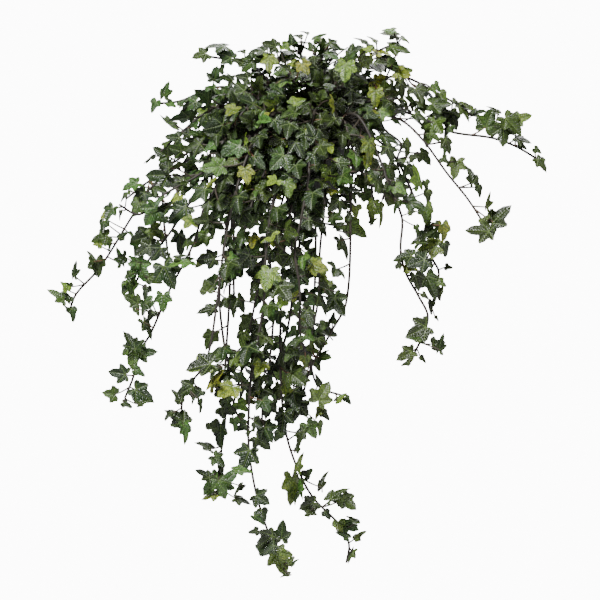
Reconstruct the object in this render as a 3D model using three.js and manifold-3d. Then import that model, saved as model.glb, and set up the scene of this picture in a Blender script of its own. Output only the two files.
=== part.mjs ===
// A potted ivy with lobed leaves: a plain nursery pot, its compost, and the leafy stems that rise from
// the compost, arch over the rim and hang. Millimetres, +Z up. The origin is the centre of the rim's
// top plane, the front of the plant faces -Y, and every stem is rooted in a plain hole of its own.

import * as THREE from "three";
import Module from "manifold-3d";

// Pot and compost
const RIM_RADIUS = 57;
const RIM_HEIGHT = 12;
const RIM_WALL = 2.5;
const WALL = 2;
const SHOULDER_RADIUS = 53.5;
const BASE_RADIUS = 40;
const POT_HEIGHT = 100;
const POT_SIDES = 24;
const DRAIN_HOLES = 4;
const DRAIN_RADIUS = 4.5;
const DRAIN_CIRCLE = 24;
const SOIL_TOP = -12;
const SEAT_GAP = 0.3;
const HOLE_MARGIN = 0.66;

// Stems
const ROOT_DEPTH = 10;
const STEM_SIDES = 3;
const ROOT_RADIUS = 2.2;
const TIP_RADIUS = 1.5;
const BARE_FOOT = 60;
const CROWN_FOOT = 42;
const TRAIL_SPACING = 50;
const CROWN_SPACING = 25;

// Leaves, with lengths in leaf lengths and directions as shares of the ones they are mixed from
const LEAF_LENGTH = 38;
const SIZE_RANGE = [0.8, 1.2];
const TIP_SHRINK = 0.45;
const SHRINK_FROM = 0.55;
const FIVE_LOBED_FROM = 25;
const BLADE_HALF = 0.5;
const FACE_UP = 0.25;
const FACE_FRONT = 0.6;
const FRONT_UNTIL = 40;
const FACE_SCATTER = 0.55;
const STALK_RADIUS = 0.8;
const STALK_OFFSET = 5;
const STALK_LENGTH = [0.55, 1.25];
const STALK_ACROSS = [0.5, 1];
const STALK_OUT = [0.15, 0.9];
const STALK_AHEAD = [0, 0.6];
const LAST_STALK_LENGTH = 0.35;
const LAST_STALK_SCATTER = 0.35;
const DROOP = [0.1, 1.1];
const SPLAY = [0, 0.5];
const BLADE_SCATTER = 0.5;
const LEAST_AHEAD = 0.25;
const LEAST_FACING = 0.35;
const SOCKET = 0.6;
const TRIALS = 12;
const CLEARANCE = 0.45;
const POT_CLEARANCE = 1.5;

// Half of a leaf's outline, from the stalk to the point, as along, across and rise in leaf lengths.
// A lobe comes to one point that both faces share. A notch between lobes has the blade's thickness.
const FIVE_LOBES = [
  { at: [-0.16, 0.36, -0.06], notch: false },
  { at: [0.06, 0.31, 0], notch: true },
  { at: [0.37, 0.56, -0.09], notch: false },
  { at: [0.44, 0.25, 0.02], notch: true },
];
const THREE_LOBES = [
  { at: [0.14, 0.44, -0.07], notch: false },
  { at: [0.42, 0.23, 0.02], notch: true },
];
const LEAF_POINT = [1, 0, -0.1];

// Stems that trail or arch past the pot, in their order round the rim. Each leaves the rim at its
// angle and passes through its points. A side of 1 or -1 puts all its leaves on one side.
const TRAILS = [
  { name: "left_high", rim: -176, leaf: 0.8,
    through: [[-101, -8, 60], [-157, -12, 68], [-213, -15, 46], [-248, -16, 42]] },
  { name: "left_low", rim: -169, leaf: 0.9, side: 1,
    through: [[-109, -18, 10], [-197, -25, -46], [-261, -32, -95], [-290, -36, -140],
      [-341, -44, -221], [-379, -50, -264], [-389, -52, -291]] },
  { name: "left_shoulder", rim: -162,
    through: [[-82, -27, 46], [-117, -35, 44], [-173, -42, 26], [-205, -48, 0], [-243, -53, -35]] },
  { name: "left_inner", rim: -155,
    through: [[-85, -42, 20], [-141, -55, -32], [-197, -65, -117], [-232, -70, -170],
      [-264, -74, -211], [-285, -76, -248]] },
  { name: "left_outer", rim: -148,
    through: [[-109, -60, -16], [-181, -88, -72], [-237, -100, -104], [-277, -105, -136],
      [-309, -108, -120]] },
  { name: "left_mid", rim: -141.5,
    through: [[-82, -60, 50], [-141, -95, -16], [-170, -125, -112], [-192, -135, -186],
      [-229, -140, -258], [-258, -143, -325], [-280, -144, -362], [-285, -145, -392],
      [-299, -146, -428]] },
  { name: "trail_left_short", rim: -135,
    through: [[-70, -78, 20], [-109, -120, -25], [-157, -150, -96], [-181, -160, -152],
      [-186, -163, -180]] },
  { name: "trail_left_long", rim: -128.5,
    through: [[-61, -72, -2], [-95, -104, -64], [-133, -130, -136], [-144, -138, -206],
      [-149, -142, -264], [-141, -145, -344], [-133, -146, -384], [-138, -147, -432],
      [-141, -148, -480], [-147, -149, -520], [-152, -150, -565]] },
  { name: "trail_left_fork", rim: -122,
    through: [[-60, -100, 25], [-85, -130, 0], [-117, -160, -80], [-139, -175, -176],
      [-152, -182, -272], [-163, -186, -344], [-173, -188, -376], [-197, -190, -408],
      [-208, -190, -437], [-202, -190, -490]] },
  { name: "trail_inner_left", rim: -115.5,
    through: [[-55, -95, -10], [-75, -125, -64], [-95, -137, -112], [-112, -148, -176],
      [-118, -150, -212]] },
  { name: "trail_inner_mid", rim: -109,
    through: [[-40, -92, -30], [-61, -120, -112], [-82, -132, -224], [-101, -134, -320],
      [-117, -120, -400], [-130, -115, -448]] },
  { name: "trail_centre_left", rim: -102.5,
    through: [[-26, -95, 14], [-37, -125, -32], [-63, -151, -112], [-75, -165, -200],
      [-78, -170, -272], [-88, -175, -336], [-98, -175, -392], [-102, -174, -446],
      [-102, -173, -506], [-91, -172, -576], [-78, -172, -621], [-66, -172, -654],
      [-48, -172, -700]] },
  { name: "trail_close_left", rim: -96,
    through: [[-20, -68, -5], [-37, -85, -72], [-56, -92, -136], [-72, -100, -176], [-82, -105, -212]] },
  { name: "trail_centre", rim: -89.5,
    through: [[-12, -80, -5], [-21, -95, -32], [-33, -107, -112], [-46, -120, -200],
      [-51, -124, -272], [-51, -128, -406], [-42, -130, -488], [-22, -130, -546],
      [0, -130, -586], [42, -130, -630], [57, -130, -660], [53, -130, -690]] },
  { name: "trail_close", rim: -83,
    through: [[3, -80, -16], [-13, -88, -112], [-29, -92, -240], [-45, -95, -336],
      [-77, -98, -416], [-82, -100, -480]] },
  { name: "trail_outer", rim: -76.5,
    through: [[8, -75, 32], [0, -110, 20], [-8, -150, -80], [-21, -162, -152],
      [-29, -167, -192], [-21, -170, -256], [-21, -172, -320], [-13, -172, -355]] },
  { name: "trail_centre_right", rim: -70,
    through: [[19, -92, -24], [19, -120, -112], [11, -128, -192], [8, -134, -272],
      [-5, -138, -352], [8, -140, -408], [46, -140, -424]] },
  { name: "trail_bare", rim: -60, side: 1, leaf: 0.9,
    through: [[51, -85, 10], [58, -100, -72], [59, -108, -197], [56, -112, -253],
      [50, -115, -285], [32, -112, -317], [16, -106, -346], [-2, -100, -376], [-21, -95, -440]] },
  { name: "right_lower", rim: -50,
    through: [[70, -85, 22], [107, -115, -50], [122, -130, -96], [141, -142, -141],
      [139, -148, -192], [146, -152, -226], [168, -155, -267], [182, -157, -296],
      [178, -158, -320], [163, -158, -352], [155, -158, -368]] },
  { name: "right_small", rim: -40, leaf: 0.8,
    through: [[68, -62, 2], [82, -80, -56], [94, -88, -96], [91, -90, -136]] },
  { name: "right_mid", rim: -30,
    through: [[94, -55, -10], [130, -72, -43], [160, -88, -106], [181, -98, -155],
      [187, -102, -200], [200, -105, -227], [195, -107, -256], [187, -108, -291]] },
  { name: "right_arch", rim: -18, side: -1, leaf: 0.85,
    through: [[94, -28, 24], [139, -40, 16], [173, -50, -14], [214, -60, -70],
      [246, -68, -110], [275, -74, -154], [288, -76, -172]] },
  { name: "right_reach", rim: -6, side: -1, leaf: 0.85,
    through: [[118, -10, 34], [176, -14, 18], [221, -18, -3], [286, -22, -13],
      [323, -25, -26], [355, -27, -45], [368, -28, -55]] },
  { name: "right_upper", rim: 7,
    through: [[75, 10, 66], [139, 14, 86], [187, 16, 66], [219, 18, 48], [246, 18, 32]] },
  { name: "right_top", rim: 22, leaf: 0.85,
    through: [[62, 26, 60], [80, 32, 104], [107, 36, 128], [136, 38, 140]] },
  { name: "left_behind", rim: 169,
    through: [[-117, 22, 8], [-181, 28, -24], [-229, 32, -56], [-261, 34, -80], [-300, 35, -110]] },
  { name: "left_top", rim: 177, leaf: 0.8,
    through: [[-64, 4, 66], [-92, 6, 98], [-125, 8, 110], [-162, 8, 117], [-186, 8, 120]] },
];

// Stems that hang behind the pot: angle at the rim, reach from the pot's axis and drop below the rim,
// then their route as shares of the reach and the drop, after a first point above the rim.
const BACK_TRAILS = [
  [36, 150, 110], [47, 200, 70], [58, 120, 130], [69, 190, 95], [80, 140, 125], [91, 185, 380],
  [102, 125, 290], [113, 180, 430], [124, 120, 230], [135, 195, 410], [146, 150, 280], [157, 262, 190],
];
const BACK_ROUTE = [[0.86, 0], [0.97, 0.3], [1, 0.65], [0.98, 1]];
const BACK_ARCH = [0.62, 26];
const BACK_SWAY = 9;

// Short stems of the raised crown, spread like the seeds of a flower head.
const CROWN_STEMS = 15;
const GOLDEN_ANGLE = 137.508;
const CROWN_ROOT_STEP = 5.6;
const CROWN_REACH = [14, 128];
const CROWN_HEIGHT = [138, 40];
const CROWN_LEAF = 1.08;
const CROWN_ROUTE = [[0.12, 0.35], [0.42, 0.85]];

const FOOT_HEIGHTS = [-4, 10, 18];
const OVER_RIM = 3;
const ROOT_CIRCLES = [34, 44];

const COLOURS = {
  pot: 0x24261f,
  soil: 0x2e241b,
  stem: [0x2f3a1c, 0x3a4a22, 0x2a351b, 0x46572a],
};

const wasm = await Module();
wasm.setup();

const degrees = Math.PI / 180;
const up = new THREE.Vector3(0, 0, 1);
const vector = (list) => new THREE.Vector3(...list);
const ringPoint = (angle, radius, height) => [
  radius * Math.cos(angle * degrees),
  radius * Math.sin(angle * degrees),
  height,
];

// A repeatable draw from 0 to 1 for a list of whole numbers.
function draw(...key) {
  let mixed = 2166136261;
  for (const number of key) {
    mixed = Math.imul(mixed ^ number, 16777619);
    mixed ^= mixed >>> 13;
  }
  mixed = Math.imul(mixed ^ (mixed >>> 15), 2246822519);
  mixed ^= mixed >>> 13;
  return (mixed >>> 0) / 4294967296;
}

// A solid from a list of corners and the triangles between them.
function solidFrom({ corners, triangles }) {
  const mesh = new wasm.Mesh({
    numProp: 3,
    vertProperties: new Float32Array(corners.flatMap((corner) => corner.toArray())),
    triVerts: new Uint32Array(triangles.flat()),
  });
  return new wasm.Manifold(mesh);
}

function meshFrom(name, solid, colour, roughness) {
  const { vertProperties, triVerts } = solid.getMesh();
  const geometry = new THREE.BufferGeometry();
  geometry.setAttribute("position", new THREE.BufferAttribute(new Float32Array(vertProperties), 3));
  geometry.setIndex(new THREE.BufferAttribute(new Uint32Array(triVerts), 1));
  geometry.computeVertexNormals();
  const material = new THREE.MeshStandardMaterial({ color: colour, roughness, metalness: 0 });
  const mesh = new THREE.Mesh(geometry, material);
  mesh.name = name;
  return mesh;
}

// A solid turned about the Z axis from a profile of radius and height that runs up its outside.
function turned(profile, sides) {
  const corners = [];
  const triangles = [];
  const rings = profile.map(([radius, height]) => {
    const first = corners.length;
    if (radius === 0) {
      corners.push(new THREE.Vector3(0, 0, height));
      return () => first;
    }
    for (let i = 0; i < sides; i++) {
      corners.push(vector(ringPoint((360 * i) / sides, radius, height)));
    }
    return (i) => first + (i % sides);
  });
  for (let row = 0; row + 1 < rings.length; row++) {
    for (let i = 0; i < sides; i++) {
      const [a, b] = [rings[row](i), rings[row](i + 1)];
      const [c, d] = [rings[row + 1](i + 1), rings[row + 1](i)];
      if (a !== b) triangles.push([a, b, c]);
      if (c !== d) triangles.push([a, c, d]);
    }
  }
  return solidFrom({ corners, triangles });
}

// The radius of the pot's inner wall at a height, for the wall between the base and the rim.
function innerRadius(height) {
  const rise = (height + POT_HEIGHT) / (POT_HEIGHT - RIM_HEIGHT);
  return BASE_RADIUS + (SHOULDER_RADIUS - BASE_RADIUS) * rise - WALL;
}

function potSolid() {
  const floor = WALL - POT_HEIGHT;
  let pot = turned([
    [0, -POT_HEIGHT],
    [BASE_RADIUS, -POT_HEIGHT],
    [SHOULDER_RADIUS, -RIM_HEIGHT],
    [RIM_RADIUS, -RIM_HEIGHT],
    [RIM_RADIUS, 0],
    [RIM_RADIUS - RIM_WALL, 0],
    [innerRadius(-RIM_HEIGHT), -RIM_HEIGHT],
    [innerRadius(floor), floor],
    [0, floor],
  ], POT_SIDES);
  for (let i = 0; i < DRAIN_HOLES; i++) {
    const [x, y] = ringPoint((360 * (i + 0.5)) / DRAIN_HOLES, DRAIN_CIRCLE, 0);
    pot = pot.subtract(turned([
      [0, -POT_HEIGHT - WALL],
      [DRAIN_RADIUS, -POT_HEIGHT - WALL],
      [DRAIN_RADIUS, floor + WALL],
      [0, floor + WALL],
    ], 6).translate([x, y, 0]));
  }
  return pot;
}

// The compost follows the pot's inner wall, with a plain hole round the foot of every stem.
function soilSolid(stems) {
  const bottom = WALL - POT_HEIGHT + SEAT_GAP;
  const top = SOIL_TOP;
  const whole = turned([
    [0, bottom],
    [innerRadius(bottom) - SEAT_GAP, bottom],
    [innerRadius(top) - SEAT_GAP, top],
    [0, top],
  ], POT_SIDES);
  return stems.reduce((soil, stem) => soil.subtract(stem.hole), whole);
}

// The rings of a stem's tube, square to its run and turned as little as possible.
function ringsOf(places, runs, radii) {
  const across = vector([places[0].y, -places[0].x, 0]);
  return places.map((place, i) => {
    across.addScaledVector(runs[i], -across.dot(runs[i])).normalize();
    return Array.from({ length: STEM_SIDES }, (_, side) => {
      const way = across.clone().applyAxisAngle(runs[i], (2 * Math.PI * side) / STEM_SIDES);
      return place.clone().addScaledVector(way, radii[i]);
    });
  });
}

// The four-cornered patches of a tube's walls, row by row.
function wallsOf(rings) {
  const walls = [];
  for (let row = 0; row + 1 < rings.length; row++) {
    for (let side = 0; side < STEM_SIDES; side++) {
      const a = STEM_SIDES * row + side;
      const b = STEM_SIDES * row + ((side + 1) % STEM_SIDES);
      walls.push([a, b, b + STEM_SIDES, a + STEM_SIDES]);
    }
  }
  return walls;
}

const splitWall = ([a, b, c, d]) => [[a, b, c], [a, c, d]];

function tube(rings) {
  const last = STEM_SIDES * (rings.length - 1);
  const triangles = [[2, 1, 0], ...wallsOf(rings).flatMap(splitWall), [last, last + 1, last + 2]];
  return solidFrom({ corners: rings.flat(), triangles });
}

// A stem from its hand-chosen points: its leaf stations, and the rings of its tube.
function growStem(name, seed, points, { foot, spacing, leaf = 1, side = 0 }) {
  const curve = new THREE.CatmullRomCurve3(points.map(vector));
  const length = curve.getLength();
  const count = Math.round((length - foot) / spacing);
  const distances = [0, foot / 2];
  for (let i = 0; i <= count; i++) distances.push(foot + (i * (length - foot)) / count);
  const fractions = distances.map((distance) => Math.min(1, distance / length));
  const places = fractions.map((fraction) => curve.getPointAt(fraction));
  const runs = fractions.map((fraction) => runAt(curve, fraction));
  const radii = fractions.map((fraction) => THREE.MathUtils.lerp(ROOT_RADIUS, TIP_RADIUS, fraction));
  const rise = places[1].clone().sub(places[0]).normalize();
  const rings = ringsOf(places, [rise, ...runs.slice(1)], radii);
  const stations = [];
  for (let i = 0; i <= count; i++) {
    const row = i + 2;
    const last = i === count;
    const chord = last ? runs[row] : places[row + 1].clone().sub(places[row]).normalize();
    const root = places[row].clone().addScaledVector(chord, last ? 0 : STALK_OFFSET);
    stations.push({ number: i, row, root, run: runs[row], fraction: fractions[row], last });
  }
  const pieces = rings.slice(1).map((ring, i) => tube([rings[i], ring]));
  const below = places[0].clone().addScaledVector(rise, -SEAT_GAP);
  const wide = ROOT_RADIUS + HOLE_MARGIN;
  const hole = tube(ringsOf([below, places[1]], [rise, rise], [wide, wide]));
  return { name, seed, leaf, side, stations, rings, pieces, hole, leaves: [] };
}

// The direction of growth at a fraction of the stem's length.
function runAt(curve, fraction) {
  const reach = 0.01;
  const ahead = curve.getPointAt(Math.min(1, fraction + reach));
  return ahead.sub(curve.getPointAt(Math.max(0, fraction - reach))).normalize();
}

// One leaf that could grow at a station, or null where its stalk would bend too sharply.
function leafPlan(stem, station, trial) {
  const between = (which, [low, high]) =>
    low + (high - low) * draw(stem.seed, station.number, trial, which);
  const scatter = (which, size) =>
    vector([0, 1, 2].map((axis) => between(which + axis, [-size, size])));
  const { root, run, last } = station;
  const shrink = TIP_SHRINK * Math.max(0, (station.fraction - SHRINK_FROM) / (1 - SHRINK_FROM));
  const length = LEAF_LENGTH * stem.leaf * between(0, SIZE_RANGE) * (1 - shrink);

  const facing = vector([root.x, root.y, Math.max(0, root.z)]).normalize();
  facing.add(scatter(1, FACE_SCATTER));
  facing.z += FACE_UP;
  if (root.y < FRONT_UNTIL) facing.y -= FACE_FRONT;
  facing.normalize();

  const turn = stem.side || (station.number % 2 ? 1 : -1);
  const stalk = last
    ? run.clone().add(scatter(4, LAST_STALK_SCATTER))
    : run.clone().cross(facing).setLength(turn * between(4, STALK_ACROSS))
        .addScaledVector(facing, between(5, STALK_OUT))
        .addScaledVector(run, between(6, STALK_AHEAD));
  stalk.normalize();
  const stalkLength = length * (last ? LAST_STALK_LENGTH : between(7, STALK_LENGTH));

  const level = vector([root.x, root.y, 0]).normalize();
  const towards = stalk.clone()
    .addScaledVector(up, -between(8, DROOP))
    .addScaledVector(level, between(9, SPLAY))
    .add(scatter(10, BLADE_SCATTER))
    .normalize();
  const normal = facing.addScaledVector(towards, -facing.dot(towards));
  if (towards.dot(stalk) < LEAST_AHEAD || normal.length() < LEAST_FACING) return null;
  normal.normalize();

  const base = root.clone().addScaledVector(stalk, stalkLength);
  return { root, base, stalk, towards, normal, length };
}

// The stalk's three-cornered section: right, left and under, seen along it with the leaf's face up.
function section(centre, left, normal) {
  return [150, 30, -90].map((turn) =>
    centre.clone()
      .addScaledVector(left, STALK_RADIUS * Math.cos(turn * degrees))
      .addScaledVector(normal, STALK_RADIUS * Math.sin(turn * degrees)),
  );
}

// Where the stalk's section would lie at its root, before it is fitted to the stem's wall.
function rootSection({ root, stalk, towards, normal }) {
  const left = normal.clone().cross(towards);
  left.addScaledVector(stalk, -left.dot(stalk)).normalize();
  return section(root, left, stalk.clone().cross(left));
}

// Adds a leaf to a surface: a thin folded blade fanned out from the end of its three-sided stalk.
// It returns the three corners that the stalk starts from.
function addBlade({ corners, triangles }, { base, towards, normal, length }) {
  const left = normal.clone().cross(towards);
  const lobes = length < FIVE_LOBED_FROM ? THREE_LOBES : FIVE_LOBES;
  const point = ([along, across, rise], turn, offset) => {
    corners.push(base.clone()
      .addScaledVector(towards, along * length)
      .addScaledVector(left, turn * across * length)
      .addScaledVector(normal, rise * length + offset));
    return corners.length - 1;
  };
  const right = corners.length;
  const [leftFoot, under] = [right + 1, right + 2];
  corners.push(...section(base, left, normal));
  const rimPoint = ({ at, notch }, turn) => {
    const top = point(at, turn, notch ? BLADE_HALF : 0);
    return { top, bottom: notch ? point(at, turn, -BLADE_HALF) : top };
  };
  const rim = [
    ...lobes.map((lobe) => rimPoint(lobe, -1)),
    rimPoint({ at: LEAF_POINT, notch: false }, 1),
    ...[...lobes].reverse().map((lobe) => rimPoint(lobe, 1)),
  ];
  const middle = lobes.length;
  triangles.push([right, rim[middle].top, leftFoot]);
  for (let i = 0; i + 1 < rim.length; i++) {
    const [a, b] = [rim[i], rim[i + 1]];
    triangles.push([i < middle ? right : leftFoot, a.top, b.top]);
    triangles.push([under, b.bottom, a.bottom]);
    if (a.top !== a.bottom) triangles.push([a.top, a.bottom, b.bottom]);
    else triangles.push([a.top, b.bottom, b.top]);
  }
  triangles.push([right, under, rim[0].top], [rim[rim.length - 1].top, under, leftFoot]);
  return [right, leftFoot, under];
}

// Joins a leaf's three corners to the three that its stalk grows from.
function addStalk({ triangles }, [right, left, under], [a, b, c]) {
  triangles.push([right, left, b], [right, b, a], [left, under, c], [left, c, b]);
  triangles.push([right, a, c], [right, c, under]);
}

// Where a leaf's stalk leaves the stem: the wall above its station that faces the stalk most squarely
// and a small triangle on it, or the stem's last ring for the leaf at the tip.
function seatOf({ rings }, { row, last }, { stalk }) {
  if (last) return { wall: "tip", socket: rings[row] };
  const walls = rings[row].map((a, side) => {
    const next = (side + 1) % STEM_SIDES;
    const [b, c, d] = [rings[row][next], rings[row + 1][next], rings[row + 1][side]];
    const out = b.clone().sub(a).cross(c.clone().sub(a)).normalize();
    return { number: STEM_SIDES * row + side, corners: [a, b, c, d], facing: out.dot(stalk) };
  });
  const { number, corners } = walls.reduce((best, wall) => (wall.facing > best.facing ? wall : best));
  return { wall: number, socket: socketOn(corners) };
}

function socketOn([a, b, c, d]) {
  const along = d.clone().sub(a).add(c).sub(b).multiplyScalar(0.5);
  const place = STALK_OFFSET / along.length();
  const start = a.clone().lerp(d, place);
  const across = b.clone().lerp(c, place).sub(start);
  const centre = start.addScaledVector(across, 0.5);
  along.setLength(across.length());
  return [[-0.5, -0.5], [0.5, -0.5], [0, 0.5]].map(([u, v]) =>
    centre.clone().addScaledVector(across, SOCKET * u).addScaledVector(along, SOCKET * v),
  );
}

// Grows a leaf from a triangle that would close the stem, with the least twist in its stalk.
function growLeaf(surface, plan, [p, q, r]) {
  const wanted = rootSection(plan);
  const twist = (corners) =>
    corners.reduce((sum, corner, i) => sum + surface.corners[corner].distanceTo(wanted[i]), 0);
  const turns = [[q, p, r], [p, r, q], [r, q, p]];
  const root = turns.reduce((best, turn) => (twist(turn) < twist(best) ? turn : best));
  addStalk(surface, addBlade(surface, plan), root);
}

// The leafy stem as one closed surface: its foot's end, its walls, its leaves and its tip.
function leafyStem({ rings, leaves }) {
  const surface = { corners: rings.flat(), triangles: [[2, 1, 0]] };
  const leafOn = (wall) => leaves.find(({ seat }) => seat.wall === wall);
  wallsOf(rings).forEach((wall, number) => {
    const leaf = leafOn(number);
    if (leaf) growFromWall(surface, wall, leaf);
    else surface.triangles.push(...splitWall(wall));
  });
  const last = STEM_SIDES * (rings.length - 1);
  const tip = [last, last + 1, last + 2];
  if (leafOn("tip")) growLeaf(surface, leafOn("tip").plan, tip);
  else surface.triangles.push(tip);
  return surface;
}

// Opens a wall of the stem round a leaf's socket and grows the leaf from there.
function growFromWall(surface, [a, b, c, d], { plan, seat }) {
  const p = surface.corners.length;
  const [q, r] = [p + 1, p + 2];
  surface.corners.push(...seat.socket);
  surface.triangles.push([a, b, q], [a, q, p], [b, r, q], [b, c, r], [c, d, r], [d, a, p], [d, p, r]);
  growLeaf(surface, plan, [p, q, r]);
}

// A leaf with its stalk, and its blade alone, as they will grow, to try whether they are clear.
function looseLeaf(plan, { socket }) {
  const whole = { corners: [...socket], triangles: [[0, 2, 1]] };
  growLeaf(whole, plan, [0, 1, 2]);
  const blade = { corners: [], triangles: [] };
  blade.triangles.push(addBlade(blade, plan));
  return { whole: solidFrom(whole), blade: solidFrom(blade) };
}

// A solid that leaves keep clear of, with the box that they must enter before it is measured.
function obstacle(solid, owner) {
  const { min, max } = solid.boundingBox();
  return { solid, owner, box: new THREE.Box3(vector(min), vector(max)).expandByScalar(CLEARANCE) };
}

function isClear(solid, obstacles) {
  const { min, max } = solid.boundingBox();
  const box = new THREE.Box3(vector(min), vector(max));
  return obstacles.every((other) =>
    !box.intersectsBox(other.box) || solid.minGap(other.solid, CLEARANCE) >= CLEARANCE,
  );
}

// Every leaf takes the first of its trials that is clear of the pot, of the stems and of the leaves
// that grew before it. Its stalk may only meet its own stem, where it grows from.
function growLeaves(stems) {
  const below = -POT_HEIGHT - POT_CLEARANCE;
  const around = RIM_RADIUS + POT_CLEARANCE;
  const pot = turned([[0, below], [around, below], [around, POT_CLEARANCE], [0, POT_CLEARANCE]], POT_SIDES);
  const walls = stems.flatMap((stem) => stem.pieces.map((piece) => obstacle(piece, stem)));
  const grown = [obstacle(pot)];
  stems.forEach((stem) => {
    const own = walls.filter((wall) => wall.owner === stem);
    const others = walls.filter((wall) => wall.owner !== stem);
    stem.stations.forEach((station) => {
      for (let trial = 0; trial < TRIALS; trial++) {
        const plan = leafPlan(stem, station, trial);
        if (!plan) continue;
        const seat = seatOf(stem, station, plan);
        const { whole, blade } = looseLeaf(plan, seat);
        if (!isClear(blade, own) || !isClear(whole, others) || !isClear(whole, grown)) continue;
        stem.leaves.push({ plan, seat });
        grown.push(obstacle(whole));
        break;
      }
    });
  });
}

// The foot of a stem: up out of the compost and over the rim at its angle.
function overTheRim(angle, rootRadius) {
  const [low, middle, high] = FOOT_HEIGHTS;
  const beyond = RIM_RADIUS + OVER_RIM;
  return [
    ringPoint(angle, rootRadius, SOIL_TOP - ROOT_DEPTH),
    ringPoint(angle, rootRadius, low),
    ringPoint(angle, (rootRadius + beyond) / 2, middle),
    ringPoint(angle, beyond, high),
  ];
}

function backRoute(index, angle, reach, drop) {
  const sway = (turn) => angle + BACK_SWAY * (turn && draw(index, turn) - 0.5);
  const [archReach, archHeight] = BACK_ARCH;
  const hanging = BACK_ROUTE.map(([out, down], turn) => ringPoint(sway(turn), out * reach, -down * drop));
  return [ringPoint(angle, archReach * reach, archHeight), ...hanging];
}

function crownRoute(index) {
  const angle = index * GOLDEN_ANGLE;
  const share = (index + 0.5) / CROWN_STEMS;
  const radius = CROWN_ROOT_STEP * Math.sqrt(index + 0.6);
  const reach = THREE.MathUtils.lerp(...CROWN_REACH, share) + radius;
  const height = THREE.MathUtils.lerp(...CROWN_HEIGHT, share);
  return [
    ringPoint(angle, radius, SOIL_TOP - ROOT_DEPTH),
    ringPoint(angle, radius, FOOT_HEIGHTS[0]),
    ...CROWN_ROUTE.map(([out, rise]) => ringPoint(angle, radius + out * reach, rise * height)),
    ringPoint(angle, reach, height),
  ];
}

function growStems() {
  const stems = [];
  const add = (name, points, growth) => stems.push(growStem(name, stems.length, points, growth));
  const trailing = { foot: BARE_FOOT, spacing: TRAIL_SPACING };
  const foot = (angle, index) => overTheRim(angle, ROOT_CIRCLES[index % ROOT_CIRCLES.length]);
  TRAILS.forEach(({ name, rim, through, leaf, side }, i) => {
    add(name, [...foot(rim, i), ...through], { ...trailing, leaf, side });
  });
  BACK_TRAILS.forEach(([angle, reach, drop], i) => {
    add(`back_${i + 1}`, [...foot(angle, i), ...backRoute(i, angle, reach, drop)], trailing);
  });
  for (let i = 0; i < CROWN_STEMS; i++) {
    add(`crown_${i + 1}`, crownRoute(i), { foot: CROWN_FOOT, spacing: CROWN_SPACING, leaf: CROWN_LEAF });
  }
  return stems;
}

const stems = growStems();
growLeaves(stems);

const ivy = new THREE.Group();
ivy.add(meshFrom("pot", potSolid(), COLOURS.pot, 0.6));
ivy.add(meshFrom("soil", soilSolid(stems), COLOURS.soil, 0.95));
stems.forEach((stem, i) => {
  ivy.add(meshFrom(stem.name, solidFrom(leafyStem(stem)), COLOURS.stem[i % COLOURS.stem.length], 0.5));
});

export default ivy;
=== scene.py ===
import functools
import math
from types import SimpleNamespace

import bmesh
import bpy
import numpy as np
from bpy.props import FloatProperty, FloatVectorProperty, PointerProperty
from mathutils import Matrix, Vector, kdtree
from mathutils.bvhtree import BVHTree


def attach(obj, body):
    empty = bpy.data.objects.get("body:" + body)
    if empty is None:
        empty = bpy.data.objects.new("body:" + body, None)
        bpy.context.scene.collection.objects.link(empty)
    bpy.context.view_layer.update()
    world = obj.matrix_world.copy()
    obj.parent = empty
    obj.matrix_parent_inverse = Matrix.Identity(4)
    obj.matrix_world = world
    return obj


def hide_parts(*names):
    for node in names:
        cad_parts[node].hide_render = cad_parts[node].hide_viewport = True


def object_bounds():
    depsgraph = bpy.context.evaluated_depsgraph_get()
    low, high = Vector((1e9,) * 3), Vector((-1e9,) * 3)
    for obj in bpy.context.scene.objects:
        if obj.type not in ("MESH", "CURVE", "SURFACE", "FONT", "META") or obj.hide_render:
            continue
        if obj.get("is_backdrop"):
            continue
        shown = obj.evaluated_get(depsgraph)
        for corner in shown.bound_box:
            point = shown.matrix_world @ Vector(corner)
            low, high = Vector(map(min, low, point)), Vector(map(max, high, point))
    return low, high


# A potted ivy: a plain nursery pot, its compost, and leafy stems that rise, arch over the rim and hang.
# Lengths are millimetres until a mesh is made, and metres in the settings. The origin is the centre of the
# rim's top plane.

bl_info = {
    "name": "Potted lace ivy",
    "version": (1, 0, 0),
    "blender": (4, 5, 0),
    "location": "3D View > Sidebar > Ivy",
    "description": "Dresses a potted ivy with fine leaves, stems, pot and compost",
    "category": "Object",
}

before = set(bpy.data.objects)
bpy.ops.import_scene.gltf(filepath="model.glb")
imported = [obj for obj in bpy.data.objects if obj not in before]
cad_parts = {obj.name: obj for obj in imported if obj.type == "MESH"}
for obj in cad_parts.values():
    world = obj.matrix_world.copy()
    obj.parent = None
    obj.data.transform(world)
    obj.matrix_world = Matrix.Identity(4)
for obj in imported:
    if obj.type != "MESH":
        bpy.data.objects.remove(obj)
CAD_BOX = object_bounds()
MM = 0.001

# Pot and compost
RIM_RADIUS = 57
RIM_HEIGHT = 12
RIM_WALL = 2.5
WALL = 2
SHOULDER_RADIUS = 53.5
BASE_RADIUS = 40
POT_HEIGHT = 100
DRAIN_HOLES = 4
DRAIN_RADIUS = 4.5
DRAIN_CIRCLE = 24
SOIL_TOP = -12
SEAT_GAP = 0.3
EDGE_RADIUS = 0.9
POT_SIDES = 96
HOLE_SIDES = 32

# The compost's top: its rings, how far its crumbs level out at the pot's wall, how low they lie, and the
# height, width and shift of its two sizes of crumb
SOIL_RINGS = 40
CRUMBS_END = 4
CRUMBS_LOW = 0.4
CRUMBS = [(1.3, 3.1, 0), (1.4, 9.7, 40)]

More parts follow.
